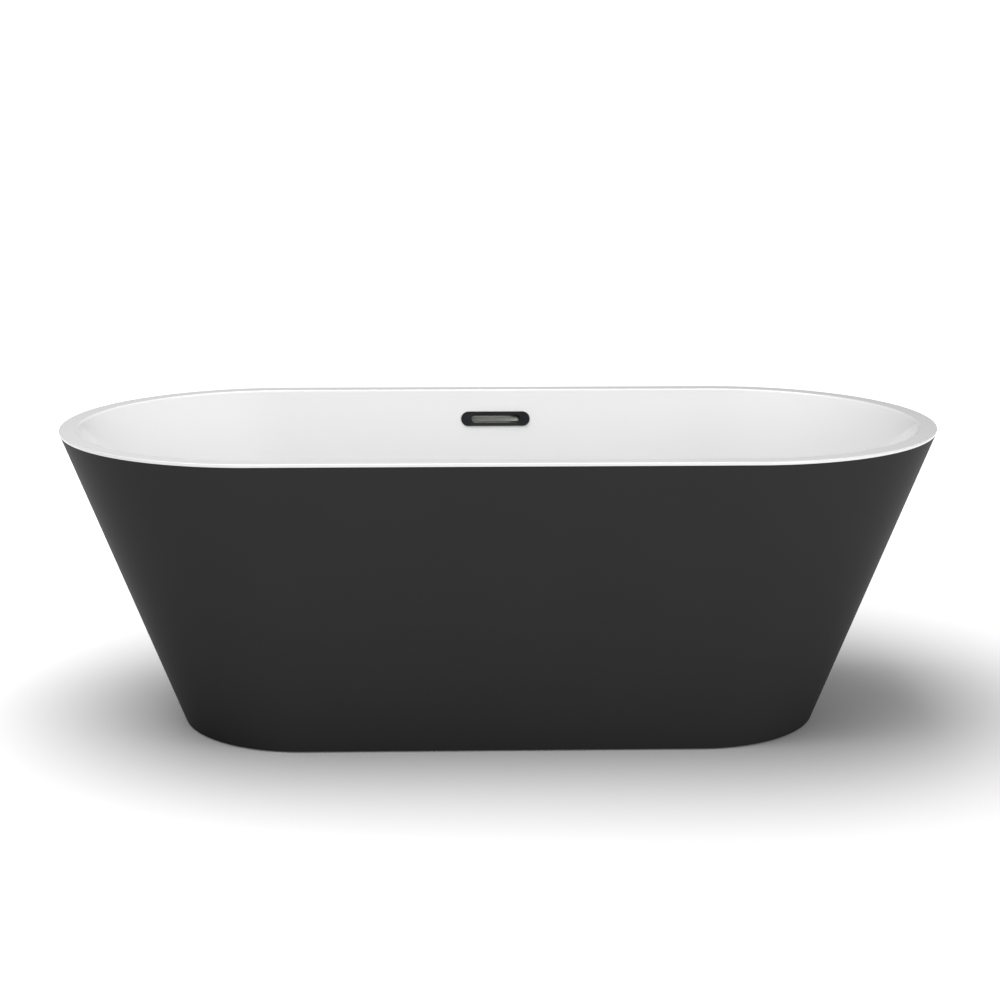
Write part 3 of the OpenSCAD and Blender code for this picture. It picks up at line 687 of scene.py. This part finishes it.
def grow(name, tree, points, values, placed=Matrix.Identity(4), edges=()):
    """Runs a geometry tree on points and returns the baked piece, moved to its place."""
    seed = bpy.data.meshes.new(name + "_profile")
    seed.from_pydata(points, edges, [])
    maker = link_mesh(name + "_maker", seed)
    modifier = maker.modifiers.new("shape", "NODES")
    modifier.node_group = tree
    for item in tree.interface.items_tree:
        if item.item_type == "SOCKET" and item.in_out == "INPUT" and item.name in values:
            modifier[item.identifier] = values[item.name]
    depsgraph = bpy.context.evaluated_depsgraph_get()
    mesh = bpy.data.meshes.new_from_object(maker.evaluated_get(depsgraph))
    bpy.data.objects.remove(maker)
    mesh.name = name
    mesh.transform(placed)
    point_outwards(mesh)
    mesh.shade_smooth()
    mesh.set_sharp_from_angle(angle=SHARP_ANGLE)
    return link_mesh(name, mesh)


def finish_piece(piece, body, slot, *replaced):
    """Attaches a piece to the body it moves with and hides the CAD nodes it stands for. The slot is not used.
    """
    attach(piece, body)
    if replaced:
        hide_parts(*replaced)
    print(piece.name, len(piece.data.polygons), "faces")
    return piece


# %% [markdown]
# Profiles.
# A profile point is (centre distance, radius, height). Corners are rounded by arcs between two unit
# directions, and a long flat stretch gets a point close to each end, so that the smooth shading of a small
# rounded edge stays in that edge.
# %% Profile helpers
HOLD = 2.5 * MM


def held(points):
    """Adds a point near both ends of each long stretch."""
    result = [points[0]]
    for a, b in zip(points, points[1:]):
        start, end = Vector(a), Vector(b)
        gap = (end - start).length
        if gap > 4 * HOLD:
            result.append(tuple(start.lerp(end, HOLD / gap)))
            result.append(tuple(start.lerp(end, 1 - HOLD / gap)))
        result.append(b)
    return result


def rounded(corner, before, after, radius, steps=6):
    """An arc of about the radius at a corner of a profile, between the points before and after it."""
    corner, before, after = Vector(corner), Vector(before), Vector(after)
    back = (before - corner).normalized()
    ahead = (after - corner).normalized()
    half = back.angle(ahead) / 2
    reach = radius / math.tan(half)
    centre = corner + (back + ahead).normalized() * (radius / math.sin(half))
    start = corner + back * reach - centre
    end = corner + ahead * reach - centre
    return [tuple(centre + start.slerp(end, i / steps) * radius) for i in range(steps + 1)]


def round_corners(points, radii, closed=True):
    """Rounds the corners of a profile by their radii, where 0 leaves a corner as it is."""
    result = []
    count = len(points)
    for i, (point, radius) in enumerate(zip(points, radii)):
        if radius:
            result += rounded(point, points[i - 1], points[(i + 1) % count], radius)
        else:
            result.append(tuple(point))
    return result + [result[0]] if closed else result


# %% [markdown]
# The skirt.
# On the real tub it is one black sheet, straight from the floor to the rim, with its lower edge eased so
# that it doesn't cut. The sizes are read from the CAD node: the outline at its lowest and highest rings.
# %% Skirt
SKIRT_SHEET = 4 * MM
SKIRT_EASE = 1.2 * MM
END_SEGMENTS = 96


def outline_at(name, height):
    """Half length and half width of a CAD node's outermost ring at a height."""
    ring = [v.co for v in nodes[name].data.vertices if abs(v.co.z - height) < 0.01 * MM]
    return max(p.x for p in ring), max(p.y for p in ring)


def ring(half_length, half_width, height):
    """A profile point from half sizes."""
    return (half_length - half_width, half_width, height)


skirt_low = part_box("skirt_shell")[0].z
skirt_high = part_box("skirt_shell")[1].z
foot_ring = ring(*outline_at("skirt_shell", skirt_low), skirt_low)
head_ring = ring(*outline_at("skirt_shell", skirt_high), skirt_high)


def inset(point, distance):
    """A profile point moved level towards the inside."""
    return (point[0], point[1] - distance, point[2])


skirt_profile = held(round_corners(
    [foot_ring, head_ring, inset(head_ring, SKIRT_SHEET), inset(foot_ring, SKIRT_SHEET)],
    [SKIRT_EASE, 0, 0, SKIRT_EASE],
))
skirt = grow("skirt", pill_loft, skirt_profile, {"End Segments": END_SEGMENTS, "Material": black_acrylic})
finish_piece(skirt, "tub", "black_acrylic", "skirt_shell")

# %% [markdown]
# The basin.
# It is thermoformed from one sheet: a level pan at the drain, a floor with a slight fall, a cove, straight
# sloping walls, a flat rim with rounded edges, and a short lip that covers the skirt's edge. The profile
# goes up the inside, over the rim and down the back of the sheet, and closes round the drain's hole.
# %% Basin profile
tub_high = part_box("basin_shell")[1]
RIM_WIDTH = 35 * MM
RIM_INNER_EASE = 4 * MM
RIM_OUTER_EASE = 2 * MM
BASIN_SHEET = 4 * MM
FLOOR_HALF = (0.590, 0.215)
FLOOR_LEVEL = 0.140
COVE_LEVEL = 0.146
COVE_RADIUS = 70 * MM
COVE_STEPS = 24
PAN = (0.010, 0.055)
DRAIN_HOLE = 24.5 * MM
rim_level = tub_high.z
rim_half = (tub_high.x - RIM_WIDTH, tub_high.y - RIM_WIDTH)


def wall_point(height, out=0.0):
    """A point on the basin's straight wall, moved out level by a distance."""
    share = (height - COVE_LEVEL) / (rim_level - COVE_LEVEL)
    length, width = (f + (r - f) * share for f, r in zip(FLOOR_HALF, rim_half))
    return (length - width, width + out, height)


def cove_points(out, drop):
    """The cove from the floor to the wall, for the sheet's front or back."""
    points = []
    for i in range(COVE_STEPS + 1):
        angle = math.pi / 2 * i / COVE_STEPS
        height = COVE_LEVEL + COVE_RADIUS * (1 - math.cos(angle))
        grown = out * math.sin(angle) - COVE_RADIUS * (1 - math.sin(angle))
        centre, radius, _ = wall_point(height, grown)
        points.append((centre, radius, height - drop * math.cos(angle)))
    return points


def rim_points():
    """The rim: its rounded inner edge, its flat, its rounded outer edge and the lip's foot."""
    inner = wall_point(rim_level)
    outer = ring(tub_high.x, tub_high.y, rim_level)
    lip = ring(*outline_at("basin_shell", skirt_high), skirt_high)
    below = wall_point(rim_level - 4 * RIM_INNER_EASE)
    back = wall_point(skirt_high, BASIN_SHEET)
    return (
        rounded(inner, below, outer, RIM_INNER_EASE)
        + rounded(outer, inner, lip, RIM_OUTER_EASE)
        + rounded(lip, outer, back, 0.5 * MM, 3)
        + [back]
    )


hole_top = (0.0, DRAIN_HOLE, FLOOR_LEVEL)
hole_foot = (0.0, DRAIN_HOLE, FLOOR_LEVEL - BASIN_SHEET)
basin_profile = held(
    [hole_top, (*PAN, FLOOR_LEVEL)]
    + cove_points(0.0, 0.0)
    + rim_points()
    + cove_points(BASIN_SHEET, BASIN_SHEET)[::-1]
    + [(*PAN, FLOOR_LEVEL - BASIN_SHEET), hole_foot, hole_top]
)
basin = grow("basin", pill_loft, basin_profile, {"End Segments": END_SEGMENTS, "Material": white_acrylic})
print("basin profile points", len(basin_profile))

# %% [markdown]
# The overflow.
# Its hole goes squarely through the leaning wall, so all of its pieces are made lying flat, with Z out of
# the wall, and then tilted into place together. The wall's lean follows from its two ends.
# %% Overflow place
OVERFLOW_LEVEL = 0.530
MOUTH = (102 * MM, 17 * MM)
FACE = (146 * MM, 31 * MM)
FACE_THICKNESS = 3 * MM
SLEEVE_WALL = 2.5 * MM
SLEEVE_DEPTH = 11.5 * MM
lean = math.atan2(rim_half[1] - FLOOR_HALF[1], rim_level - COVE_LEVEL)
overflow_place = (
    Matrix.Translation((0, wall_point(OVERFLOW_LEVEL)[1], OVERFLOW_LEVEL))
    @ Matrix.Rotation(math.pi / 2 - lean, 4, "X")
)


def oblong(length_width, height, shrink=0.0):
    """A profile point for an oblong of overall length and width, made smaller all round."""
    length, width = length_width
    return ((length - width) / 2, width / 2 - shrink, height)


# %% [markdown]
# The hole through the sheet is a Boolean difference with an oblong bar. The exact solver keeps the cut
# clean, and the modifier is baked like a tree.
# %% Overflow hole in the basin
CUT_DEPTH = 20 * MM
hole = tuple(size + 2 * (SLEEVE_WALL + 0.5 * MM) for size in MOUTH)


def cut_hole(piece, name, profile, placed):
    """Cuts a lofted bar out of a piece."""
    bar = grow(name, pill_loft, profile, {"End Segments": 24, "Material": white_acrylic}, placed)
    modifier = piece.modifiers.new("hole", "BOOLEAN")
    modifier.operation = "DIFFERENCE"
    modifier.solver = "EXACT"
    modifier.object = bar
    depsgraph = bpy.context.evaluated_depsgraph_get()
    mesh = bpy.data.meshes.new_from_object(piece.evaluated_get(depsgraph))
    piece.modifiers.clear()
    piece.data = mesh
    bpy.data.objects.remove(bar)
    mesh.set_sharp_from_angle(angle=SHARP_ANGLE)


cut_profile = [
    (0.0, 0.0, -CUT_DEPTH), oblong(hole, -CUT_DEPTH), oblong(hole, CUT_DEPTH), (0.0, 0.0, CUT_DEPTH),
]
cut_hole(basin, "overflow_cut", cut_profile, overflow_place)
finish_piece(basin, "tub", "white_acrylic", "basin_shell")

# %% [markdown]
# The overflow's face is a dark ring with eased edges and a dished slope down to its mouth, in one piece
# with the sleeve behind it. The strip across the mouth is a thin steel bar with round ends.
# %% Overflow face and strip
STRIP = (102 * MM, 8.5 * MM)
STRIP_FRONT = -6 * MM
STRIP_THICKNESS = 1.5 * MM
GASKET_SEAT = 1 * MM
outer_edge = oblong(FACE, FACE_THICKNESS)
face_profile = held(round_corners(
    [
        oblong(MOUTH, -SLEEVE_DEPTH),
        oblong(MOUTH, FACE_THICKNESS - 0.8 * MM),
        outer_edge,
        oblong(FACE, GASKET_SEAT),
        oblong(MOUTH, GASKET_SEAT, -SLEEVE_WALL),
        oblong(MOUTH, -SLEEVE_DEPTH, -SLEEVE_WALL),
    ],
    [0, 0.7 * MM, 1.0 * MM, 0, 0, 0],
))
face = grow(
    "overflow_face", pill_loft, face_profile, {"End Segments": 40, "Material": black_metal}, overflow_place
)
finish_piece(face, "tub", "black_metal", "overflow_trim")
strip_back = STRIP_FRONT - STRIP_THICKNESS
strip_profile = round_corners(
    [
        (0.0, 0.0, strip_back), oblong(STRIP, strip_back), oblong(STRIP, STRIP_FRONT),
        (0.0, 0.0, STRIP_FRONT),
    ],
    [0, 0.5 * MM, 0.6 * MM, 0], closed=False,
)
strip = grow(
    "overflow_bar", pill_loft, strip_profile, {"End Segments": 24, "Material": satin_steel}, overflow_place
)
finish_piece(strip, "tub", "satin_steel", "overflow_strip")

# %% [markdown]
# The layers behind the two skins.
# Seen from below, a tub like this shows glass fibre on the back of both sheets, a plywood ring in the
# skirt's foot and a bead of adhesive under the rim. Each is a closed band with its own profile, so the same
# tree makes them, and they follow the smooth skins exactly.
# %% Layers and bead
SKIRT_BACK = 2 * MM
BASIN_BACK = 3 * MM
FOOT_RING = (18 * MM, 40 * MM)
BEAD = 9 * MM
PAN_FALL = COVE_LEVEL - FLOOR_LEVEL


def skirt_point(height, inward):
    """A profile point inside the skirt's outer face."""
    share = (height - skirt_low) / (skirt_high - skirt_low)
    low, high = Vector(foot_ring), Vector(head_ring)
    return inset(tuple(low.lerp(high, share)), inward)


def band(name, finish, node, corners):
    """A closed band through corner points, in place of a CAD node of the tub."""
    loop = held(corners + corners[:1])
    piece = grow(name, pill_loft, loop, {"End Segments": END_SEGMENTS, "Material": finishes[finish]})
    return finish_piece(piece, "tub", finish, node)


def skirt_layer(low, high, outer, inner):
    """Corners of a layer of the skirt between two heights and two depths."""
    return [
        skirt_point(low, outer), skirt_point(high, outer),
        skirt_point(high, inner), skirt_point(low, inner),
    ]


skirt_inside = SKIRT_SHEET + SKIRT_BACK
band("skirt_glass", "glass_fibre", "skirt_laminate", skirt_layer(
    skirt_low, skirt_high, SKIRT_SHEET, skirt_inside
))
band("foot_timber", "plywood", "skirt_foot_ring", skirt_layer(
    skirt_low, skirt_low + FOOT_RING[1], skirt_inside, skirt_inside + FOOT_RING[0]
))
band("rim_bead", "adhesive", "rim_adhesive", [
    skirt_point(skirt_high - BEAD, skirt_inside),
    skirt_point(skirt_high - BEAD / 2, skirt_inside + BEAD * 0.35),
    skirt_point(skirt_high, skirt_inside + BEAD),
    skirt_point(skirt_high, skirt_inside),
])
basin_inside = BASIN_SHEET + BASIN_BACK
glass_low = FLOOR_LEVEL - basin_inside
glass_profile = held(
    [(0.0, DRAIN_HOLE, FLOOR_LEVEL - BASIN_SHEET), (*PAN, FLOOR_LEVEL - BASIN_SHEET)]
    + cove_points(BASIN_SHEET, BASIN_SHEET)
    + [wall_point(skirt_high, BASIN_SHEET), wall_point(skirt_high, basin_inside)]
    + cove_points(basin_inside, basin_inside + PAN_FALL)[::-1]
    + [(*PAN, glass_low), (0.0, DRAIN_HOLE, glass_low), (0.0, DRAIN_HOLE, FLOOR_LEVEL - BASIN_SHEET)]
)
basin_glass = grow(
    "basin_glass", pill_loft, glass_profile, {"End Segments": END_SEGMENTS, "Material": glass_fibre}
)
cut_hole(basin_glass, "glass_cut", cut_profile, overflow_place)
finish_piece(basin_glass, "tub", "glass_fibre", "basin_laminate")
print("layers inside", skirt_inside, "and behind", basin_inside)

# %% [markdown]
# The drain's cap.
# It is a shallow turned dome with a fine edge, so its profile goes from the middle of the top to the rim
# and back underneath, and the same tree turns it with a centre distance of zero.
# %% Stopper cap
CAP_RADIUS = 32 * MM
CAP_EDGE = 2 * MM
CAP_STEPS = 14
CAP_ROUNDING = 0.4 * MM
CAP_BEVEL = 0.5 * MM
CAP_LIP = 3 * MM
CAP_HOLLOW = 0.8 * MM
HOLLOW_SLOPE = 1 * MM
BOSS_WALL = 2 * MM
STEM_RADIUS = 4 * MM
cap_low, cap_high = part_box("stopper_cap")


def dome_points():
    """The cap's crown from its middle to its edge, as an arc over the whole width."""
    rise = cap_high.z - cap_low.z - CAP_EDGE
    radius = (CAP_RADIUS ** 2 + rise ** 2) / (2 * rise)
    limit = math.asin((CAP_RADIUS - CAP_ROUNDING) / radius)
    return [
        (0.0, radius * math.sin(limit * i / CAP_STEPS),
         cap_high.z - radius * (1 - math.cos(limit * i / CAP_STEPS)))
        for i in range(CAP_STEPS + 1)
    ]


cap_profile = dome_points() + [
    (0.0, CAP_RADIUS, cap_low.z + CAP_EDGE - CAP_ROUNDING),
    (0.0, CAP_RADIUS, cap_low.z + CAP_BEVEL),
    (0.0, CAP_RADIUS - CAP_BEVEL, cap_low.z),
    (0.0, CAP_RADIUS - CAP_LIP, cap_low.z),
    (0.0, CAP_RADIUS - CAP_LIP - HOLLOW_SLOPE, cap_low.z + CAP_HOLLOW),
    (0.0, STEM_RADIUS + BOSS_WALL + HOLLOW_SLOPE, cap_low.z + CAP_HOLLOW),
    (0.0, STEM_RADIUS + BOSS_WALL, cap_low.z),
    (0.0, 0.0, cap_low.z),
]
cap = grow("drain_cap", pill_loft, cap_profile, {"End Segments": 48, "Material": black_metal})
finish_piece(cap, "stopper", "black_metal", "stopper_cap")

# %% [markdown]
# The levelling feet.
# A foot is a moulded pad, in which a threaded stud turns by its collar. The pad is turned from a profile.
# The collar is the same tree with only three segments in each half turn, which makes a hexagon. The
# thread is a tree of its own: the side of a finely divided cylinder is pulled in and out by its height and
# its angle together, which is what a screw thread is.
# %% Geometry Nodes: thread
THREAD_RADIUS = 6 * MM
THREAD_PITCH = 1.75 * MM
THREAD_DEPTH = 0.95 * MM
ROWS_PER_TURN = 4


def make_thread():
    """A round bar with a screw thread, standing on each input point."""
    group, given, result = new_geometry_group("thread", [
        ("Length", "NodeSocketFloat", 0.05),
        ("Radius", "NodeSocketFloat", THREAD_RADIUS),
        ("Pitch", "NodeSocketFloat", THREAD_PITCH),
        ("Depth", "NodeSocketFloat", THREAD_DEPTH),
        ("Rows", "NodeSocketInt", 40),
        ("Material", "NodeSocketMaterial", None),
    ])
    bar = add_node(group, "GeometryNodeMeshCylinder", {"Vertices": 36}, fill_type="NGON")
    join(group, given.outputs["Rows"], bar.inputs["Side Segments"])
    join(group, given.outputs["Radius"], bar.inputs["Radius"])
    join(group, given.outputs["Length"], bar.inputs["Depth"])
    place = add_node(group, "ShaderNodeSeparateXYZ")
    join(group, add_node(group, "GeometryNodeInputPosition").outputs[0], place.inputs[0])
    angle = math_node(group, "ARCTAN2", place.outputs["Y"], place.outputs["X"])
    turns = math_node(group, "DIVIDE", place.outputs["Z"], given.outputs["Pitch"])
    phase = math_node(group, "SUBTRACT", turns, math_node(group, "DIVIDE", angle, math.tau))
    ridge = math_node(group, "MULTIPLY", math_node(group, "PINGPONG", phase, 0.5), 2.0)
    pull = math_node(group, "MULTIPLY", ridge, given.outputs["Depth"])
    scale = math_node(group, "SUBTRACT", 1.0, math_node(group, "DIVIDE", pull, given.outputs["Radius"]))
    point = add_node(group, "ShaderNodeCombineXYZ")
    join(group, math_node(group, "MULTIPLY", place.outputs["X"], scale), point.inputs["X"])
    join(group, math_node(group, "MULTIPLY", place.outputs["Y"], scale), point.inputs["Y"])
    join(group, place.outputs["Z"], point.inputs["Z"])
    move = add_node(group, "GeometryNodeSetPosition")
    join(group, bar.outputs["Mesh"], move.inputs["Geometry"])
    join(group, point.outputs[0], move.inputs["Position"])
    copies = add_node(group, "GeometryNodeInstanceOnPoints")
    join(group, given.outputs["Geometry"], copies.inputs["Points"])
    join(group, move.outputs[0], copies.inputs["Instance"])
    end_tree(group, copies.outputs[0], given, result)
    return group


thread = make_thread()
print("tree", thread.name)

# %% [markdown]
# Four feet from two profiles and a thread.
# The profiles are written once, at the middle of the tub, and a loop moves them to the four corners. The
# pad stays a body of its own, and the collar and the thread ride on the stud, because the stud turns in
# the pad as the foot is screwed out.
# %% Feet
FOOT = (0.430, 0.165)
PAD_RADIUS = 25 * MM
PAD_HEIGHT = 14 * MM
POCKET_RADIUS = 8 * MM
POCKET_LEVEL = 5 * MM
COLLAR_RADIUS = 19 * MM / math.sqrt(3)
COLLAR = (14.1 * MM, 22.1 * MM)
COLLAR_BEVEL = (0.8 * MM, 0.6 * MM)
POCKET_GAP = 0.3 * MM
STUD_TOP = 0.111
pad_profile = held(round_corners(
    [
        (0.0, 0.0, 0.0), (0.0, PAD_RADIUS, 0.0),
        (0.0, PAD_RADIUS, 4 * MM), (0.0, POCKET_RADIUS + 5 * MM, 11 * MM),
        (0.0, POCKET_RADIUS + 3 * MM, PAD_HEIGHT), (0.0, POCKET_RADIUS, PAD_HEIGHT),
        (0.0, POCKET_RADIUS, POCKET_LEVEL), (0.0, 0.0, POCKET_LEVEL),
    ],
    [0, 1 * MM, 1 * MM, 1.2 * MM, 0.6 * MM, 0.3 * MM, 0, 0], closed=False,
))
collar_profile = [
    (0.0, 0.0, POCKET_LEVEL), (0.0, POCKET_RADIUS - POCKET_GAP, POCKET_LEVEL),
    (0.0, POCKET_RADIUS - POCKET_GAP, COLLAR[0]), (0.0, COLLAR_RADIUS - COLLAR_BEVEL[0], COLLAR[0]),
    (0.0, COLLAR_RADIUS, COLLAR[0] + COLLAR_BEVEL[1]), (0.0, COLLAR_RADIUS, COLLAR[1] - COLLAR_BEVEL[1]),
    (0.0, COLLAR_RADIUS - COLLAR_BEVEL[0], COLLAR[1]), (0.0, 0.0, COLLAR[1]),
]
stud_length = STUD_TOP - COLLAR[1]
stud_rows = round(stud_length / THREAD_PITCH * ROWS_PER_TURN)
for side, row in ((x, y) for x in ("left", "right") for y in ("front", "back")):
    corner = row + "_" + side
    x = -FOOT[0] if side == "left" else FOOT[0]
    y = -FOOT[1] if row == "front" else FOOT[1]
    spot = Matrix.Translation((x, y, 0.0))
    pad = grow("pad_turned_" + corner, pill_loft, pad_profile, {
        "End Segments": 32, "Material": foot_plastic,
    }, spot)
    finish_piece(pad, "pad_" + corner, "foot_plastic", "foot_pad_" + corner)
    collar = grow("collar_" + corner, pill_loft, collar_profile, {"End Segments": 3, "Material": zinc_steel},
                  spot @ Matrix.Rotation(math.pi / 6, 4, "Z"))
    finish_piece(collar, "stud_" + corner, "zinc_steel", "foot_stud_" + corner)
    bar = grow("thread_" + corner, thread, [(0.0, 0.0, COLLAR[1] + stud_length / 2)], {
        "Length": stud_length, "Radius": THREAD_RADIUS, "Pitch": THREAD_PITCH, "Depth": THREAD_DEPTH,
        "Rows": stud_rows, "Material": zinc_steel,
    }, spot)
    finish_piece(bar, "stud_" + corner, "zinc_steel")
    print("foot", corner, "at", x, y)

# %% [markdown]
# The overflow hose.
# A flexible hose is corrugated so that it bends without kinking. The tree takes the hose's middle line as
# a chain of points, resamples it finely and sweeps a circle along it, while the circle's size rises and
# falls with the length travelled. The line is the same as in the CAD model: level from the drain's tee,
# round a bend, and up behind the wall to the overflow's box.
# %% Geometry Nodes: corrugated hose


def make_hose_tree():
    """A closed corrugated tube along a chain of points."""
    group, given, result = new_geometry_group("corrugated_hose", [
        ("Radius", "NodeSocketFloat", 0.013),
        ("Depth", "NodeSocketFloat", 0.0012),
        ("Pitch", "NodeSocketFloat", 0.005),
        ("Step", "NodeSocketFloat", 0.001),
        ("Material", "NodeSocketMaterial", None),
    ])
    line = add_node(group, "GeometryNodeMeshToCurve")
    join(group, given.outputs["Geometry"], line.inputs[0])
    fine = add_node(group, "GeometryNodeResampleCurve", mode="LENGTH")
    join(group, line.outputs[0], fine.inputs["Curve"])
    join(group, given.outputs["Step"], fine.inputs["Length"])
    travelled = add_node(group, "GeometryNodeSplineParameter").outputs["Length"]
    ridges = math_node(group, "DIVIDE", travelled, given.outputs["Pitch"])
    crest = math_node(group, "COSINE", math_node(group, "MULTIPLY", ridges, math.tau))
    wave = math_node(group, "MULTIPLY", math_node(group, "SUBTRACT", crest, 1.0), 0.5)
    pull = math_node(group, "MULTIPLY", wave, given.outputs["Depth"])
    size = math_node(group, "ADD", given.outputs["Radius"], pull)
    ring = add_node(group, "GeometryNodeCurvePrimitiveCircle", {"Resolution": 48, "Radius": 1.0})
    sweep = add_node(group, "GeometryNodeCurveToMesh", {"Fill Caps": True})
    join(group, fine.outputs[0], sweep.inputs["Curve"])
    join(group, ring.outputs[0], sweep.inputs["Profile Curve"])
    join(group, size, sweep.inputs["Scale"])
    end_tree(group, sweep.outputs[0], given, result)
    return group


hose_tree = make_hose_tree()
print("tree", hose_tree.name)

# %% [markdown]
# The hose's middle line.
# It leaves the tee level, turns through one bend of constant radius and climbs at the wall's own slope. The
# start of the bend follows from where the climb has to end, so the line needs no points set by hand. Its
# ends are closed discs, which sit inside the cuffs.
# %% Hose
HOSE_RADIUS = 13 * MM
HOSE_BEND = 60 * MM
HOSE_RIDGE = 1.6 * MM
HOSE_PITCH = 5 * MM
HOSE_STEP = 0.8 * MM
BRANCH_LEVEL = 73 * MM
BEND_STEPS = 24
hose_low, hose_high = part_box("overflow_hose")
hose_turn = math.pi / 2 - lean
hose_top = Vector((
    0.0, hose_high.y - HOSE_RADIUS * math.cos(lean), hose_high.z - HOSE_RADIUS * math.sin(lean)
))
hose_foot = Vector((0.0, hose_low.y, BRANCH_LEVEL))
bend_start = (
    hose_top.y - (hose_top.z - BRANCH_LEVEL) * math.tan(lean) - HOSE_BEND * math.tan(hose_turn / 2)
)
hose_line = [tuple(hose_foot)]
for i in range(BEND_STEPS + 1):
    climb = hose_turn * i / BEND_STEPS
    hose_line.append((
        0.0, bend_start + HOSE_BEND * math.sin(climb), BRANCH_LEVEL + HOSE_BEND * (1 - math.cos(climb))
    ))
hose_line.append(tuple(hose_top))
hose = grow("corrugated_hose", hose_tree, hose_line, {
    "Radius": HOSE_RADIUS, "Depth": HOSE_RIDGE, "Pitch": HOSE_PITCH, "Step": HOSE_STEP,
    "Material": hose_plastic,
}, edges=[(i, i + 1) for i in range(len(hose_line) - 1)])
finish_piece(hose, "tub", "hose_plastic", "overflow_hose")

# %% [markdown]
# Hardware with softened edges.
# Tubes, nuts, pipes and the boards already have their true shape in the CAD model, but with edges sharper
# than any real part. Such edges never catch the light, which makes hardware look drawn. Each gets a merged
# copy of its CAD mesh with a small bevel on its sharp edges. Hardened normals keep the flat faces flat.
# %% Softened hardware
SOFTENED = {
    0.25: ["frame_nuts", "frame_screws", "drain_gasket", "drain_washer", "tail_seal", "stopper_seal",
           "stopper_sleeve", "stopper_cam", "stopper_stem", "overflow_gasket", "hose_cuff_top",
           "hose_cuff_bottom", "tailpiece", "foot_locknut_front_left", "foot_locknut_front_right",
           "foot_locknut_back_left", "foot_locknut_back_right"],
    0.5: ["drain_flange", "drain_locknut", "tail_nut", "drain_tee"],
    1.0: ["frame_rail_front", "frame_rail_back", "frame_cross_left", "frame_cross_right", "overflow_channel"],
    1.2: ["base_board"],
}
body_of_node = {
    node: body for body, members in frame["record"]["behaviour"]["bodies"].items() for node in members
}


def soften(name, width):
    """A merged copy of a CAD node with bevelled edges, in its place."""
    mesh = nodes[name].data.copy()
    mesh.name = name + "_eased"
    shape = bmesh.new()
    shape.from_mesh(mesh)
    bmesh.ops.remove_doubles(shape, verts=shape.verts, dist=0.002 * MM)
    bmesh.ops.dissolve_limit(
        shape, angle_limit=math.radians(0.5), verts=shape.verts, edges=shape.edges
    )
    shape.to_mesh(mesh)
    shape.free()
    mesh.shade_smooth()
    piece = link_mesh(mesh.name, mesh)
    modifier = piece.modifiers.new("edges", "BEVEL")
    modifier.width = width
    modifier.segments = 2
    modifier.limit_method = "ANGLE"
    modifier.angle_limit = math.radians(35)
    modifier.harden_normals = True
    depsgraph = bpy.context.evaluated_depsgraph_get()
    baked = bpy.data.meshes.new_from_object(piece.evaluated_get(depsgraph))
    piece.modifiers.clear()
    piece.data = baked
    return finish_piece(piece, body_of_node[name], slot_of[name], name)


for width, names in SOFTENED.items():
    for name in names:
        soften(name, width * MM)

# %% [markdown]
# The floor. A plain pale plane receives the tub's soft contact shadow. It is large enough to run to the
# horizon of every view. Its own faint glow grows with the distance from the tub, so that the far floor
# meets the white surround without a line. From below it is clear, so the frame and pipework can be seen. The
# low key light is kept off it, or it would throw a long shadow to the left.
# %% Floor
FLOOR_HALF_SIZE = 60.0
FLOOR_GLOW = 0.06
FAR_GLOW = 0.85
GLOW_START = 0.55
GLOW_END = 2.4


def add_floor():
    """A matt white floor with a glow that grows away from the tub."""
    mesh = bpy.data.meshes.new("floor")
    r = FLOOR_HALF_SIZE
    mesh.from_pydata([(-r, -r, 0), (r, -r, 0), (r, r, 0), (-r, r, 0)], [], [(0, 1, 2, 3)])
    material, tree, shader = start_material("floor_white", Roughness=1.0, Specular_IOR_Level=0.0)
    clear = add_node(tree, "ShaderNodeBsdfTransparent")
    either = add_node(tree, "ShaderNodeMixShader")
    join(tree, add_node(tree, "ShaderNodeNewGeometry").outputs["Backfacing"], either.inputs["Fac"])
    join(tree, shader.outputs["BSDF"], either.inputs[1])
    join(tree, clear.outputs["BSDF"], either.inputs[2])
    join(tree, either.outputs["Shader"], tree.nodes["Material Output"].inputs["Surface"])
    shader.inputs["Base Color"].default_value = (0.93, 0.93, 0.93, 1.0)
    shader.inputs["Emission Color"].default_value = (1.0, 1.0, 1.0, 1.0)
    distance = add_node(tree, "ShaderNodeVectorMath", operation="LENGTH")
    join(tree, add_node(tree, "ShaderNodeTexCoord").outputs["Object"], distance.inputs[0])
    glow = add_node(tree, "ShaderNodeMapRange", {
        "From Min": GLOW_START, "From Max": GLOW_END, "To Min": FLOOR_GLOW, "To Max": FAR_GLOW,
    }, interpolation_type="SMOOTHSTEP")
    join(tree, distance.outputs["Value"], glow.inputs["Value"])
    join(tree, glow.outputs["Result"], shader.inputs["Emission Strength"])
    mesh.materials.append(material)
    floor = link_mesh("floor", mesh)
    return floor


def keep_light_off(light, piece):
    """Light linking: the light leaves the piece out."""
    left_out = bpy.data.collections.new("left_out_of_" + light.name)
    left_out.objects.link(piece)
    light.light_linking.receiver_collection = left_out
    left_out.collection_objects[0].light_linking.link_state = "EXCLUDE"


keep_light_off(key_light, add_floor())
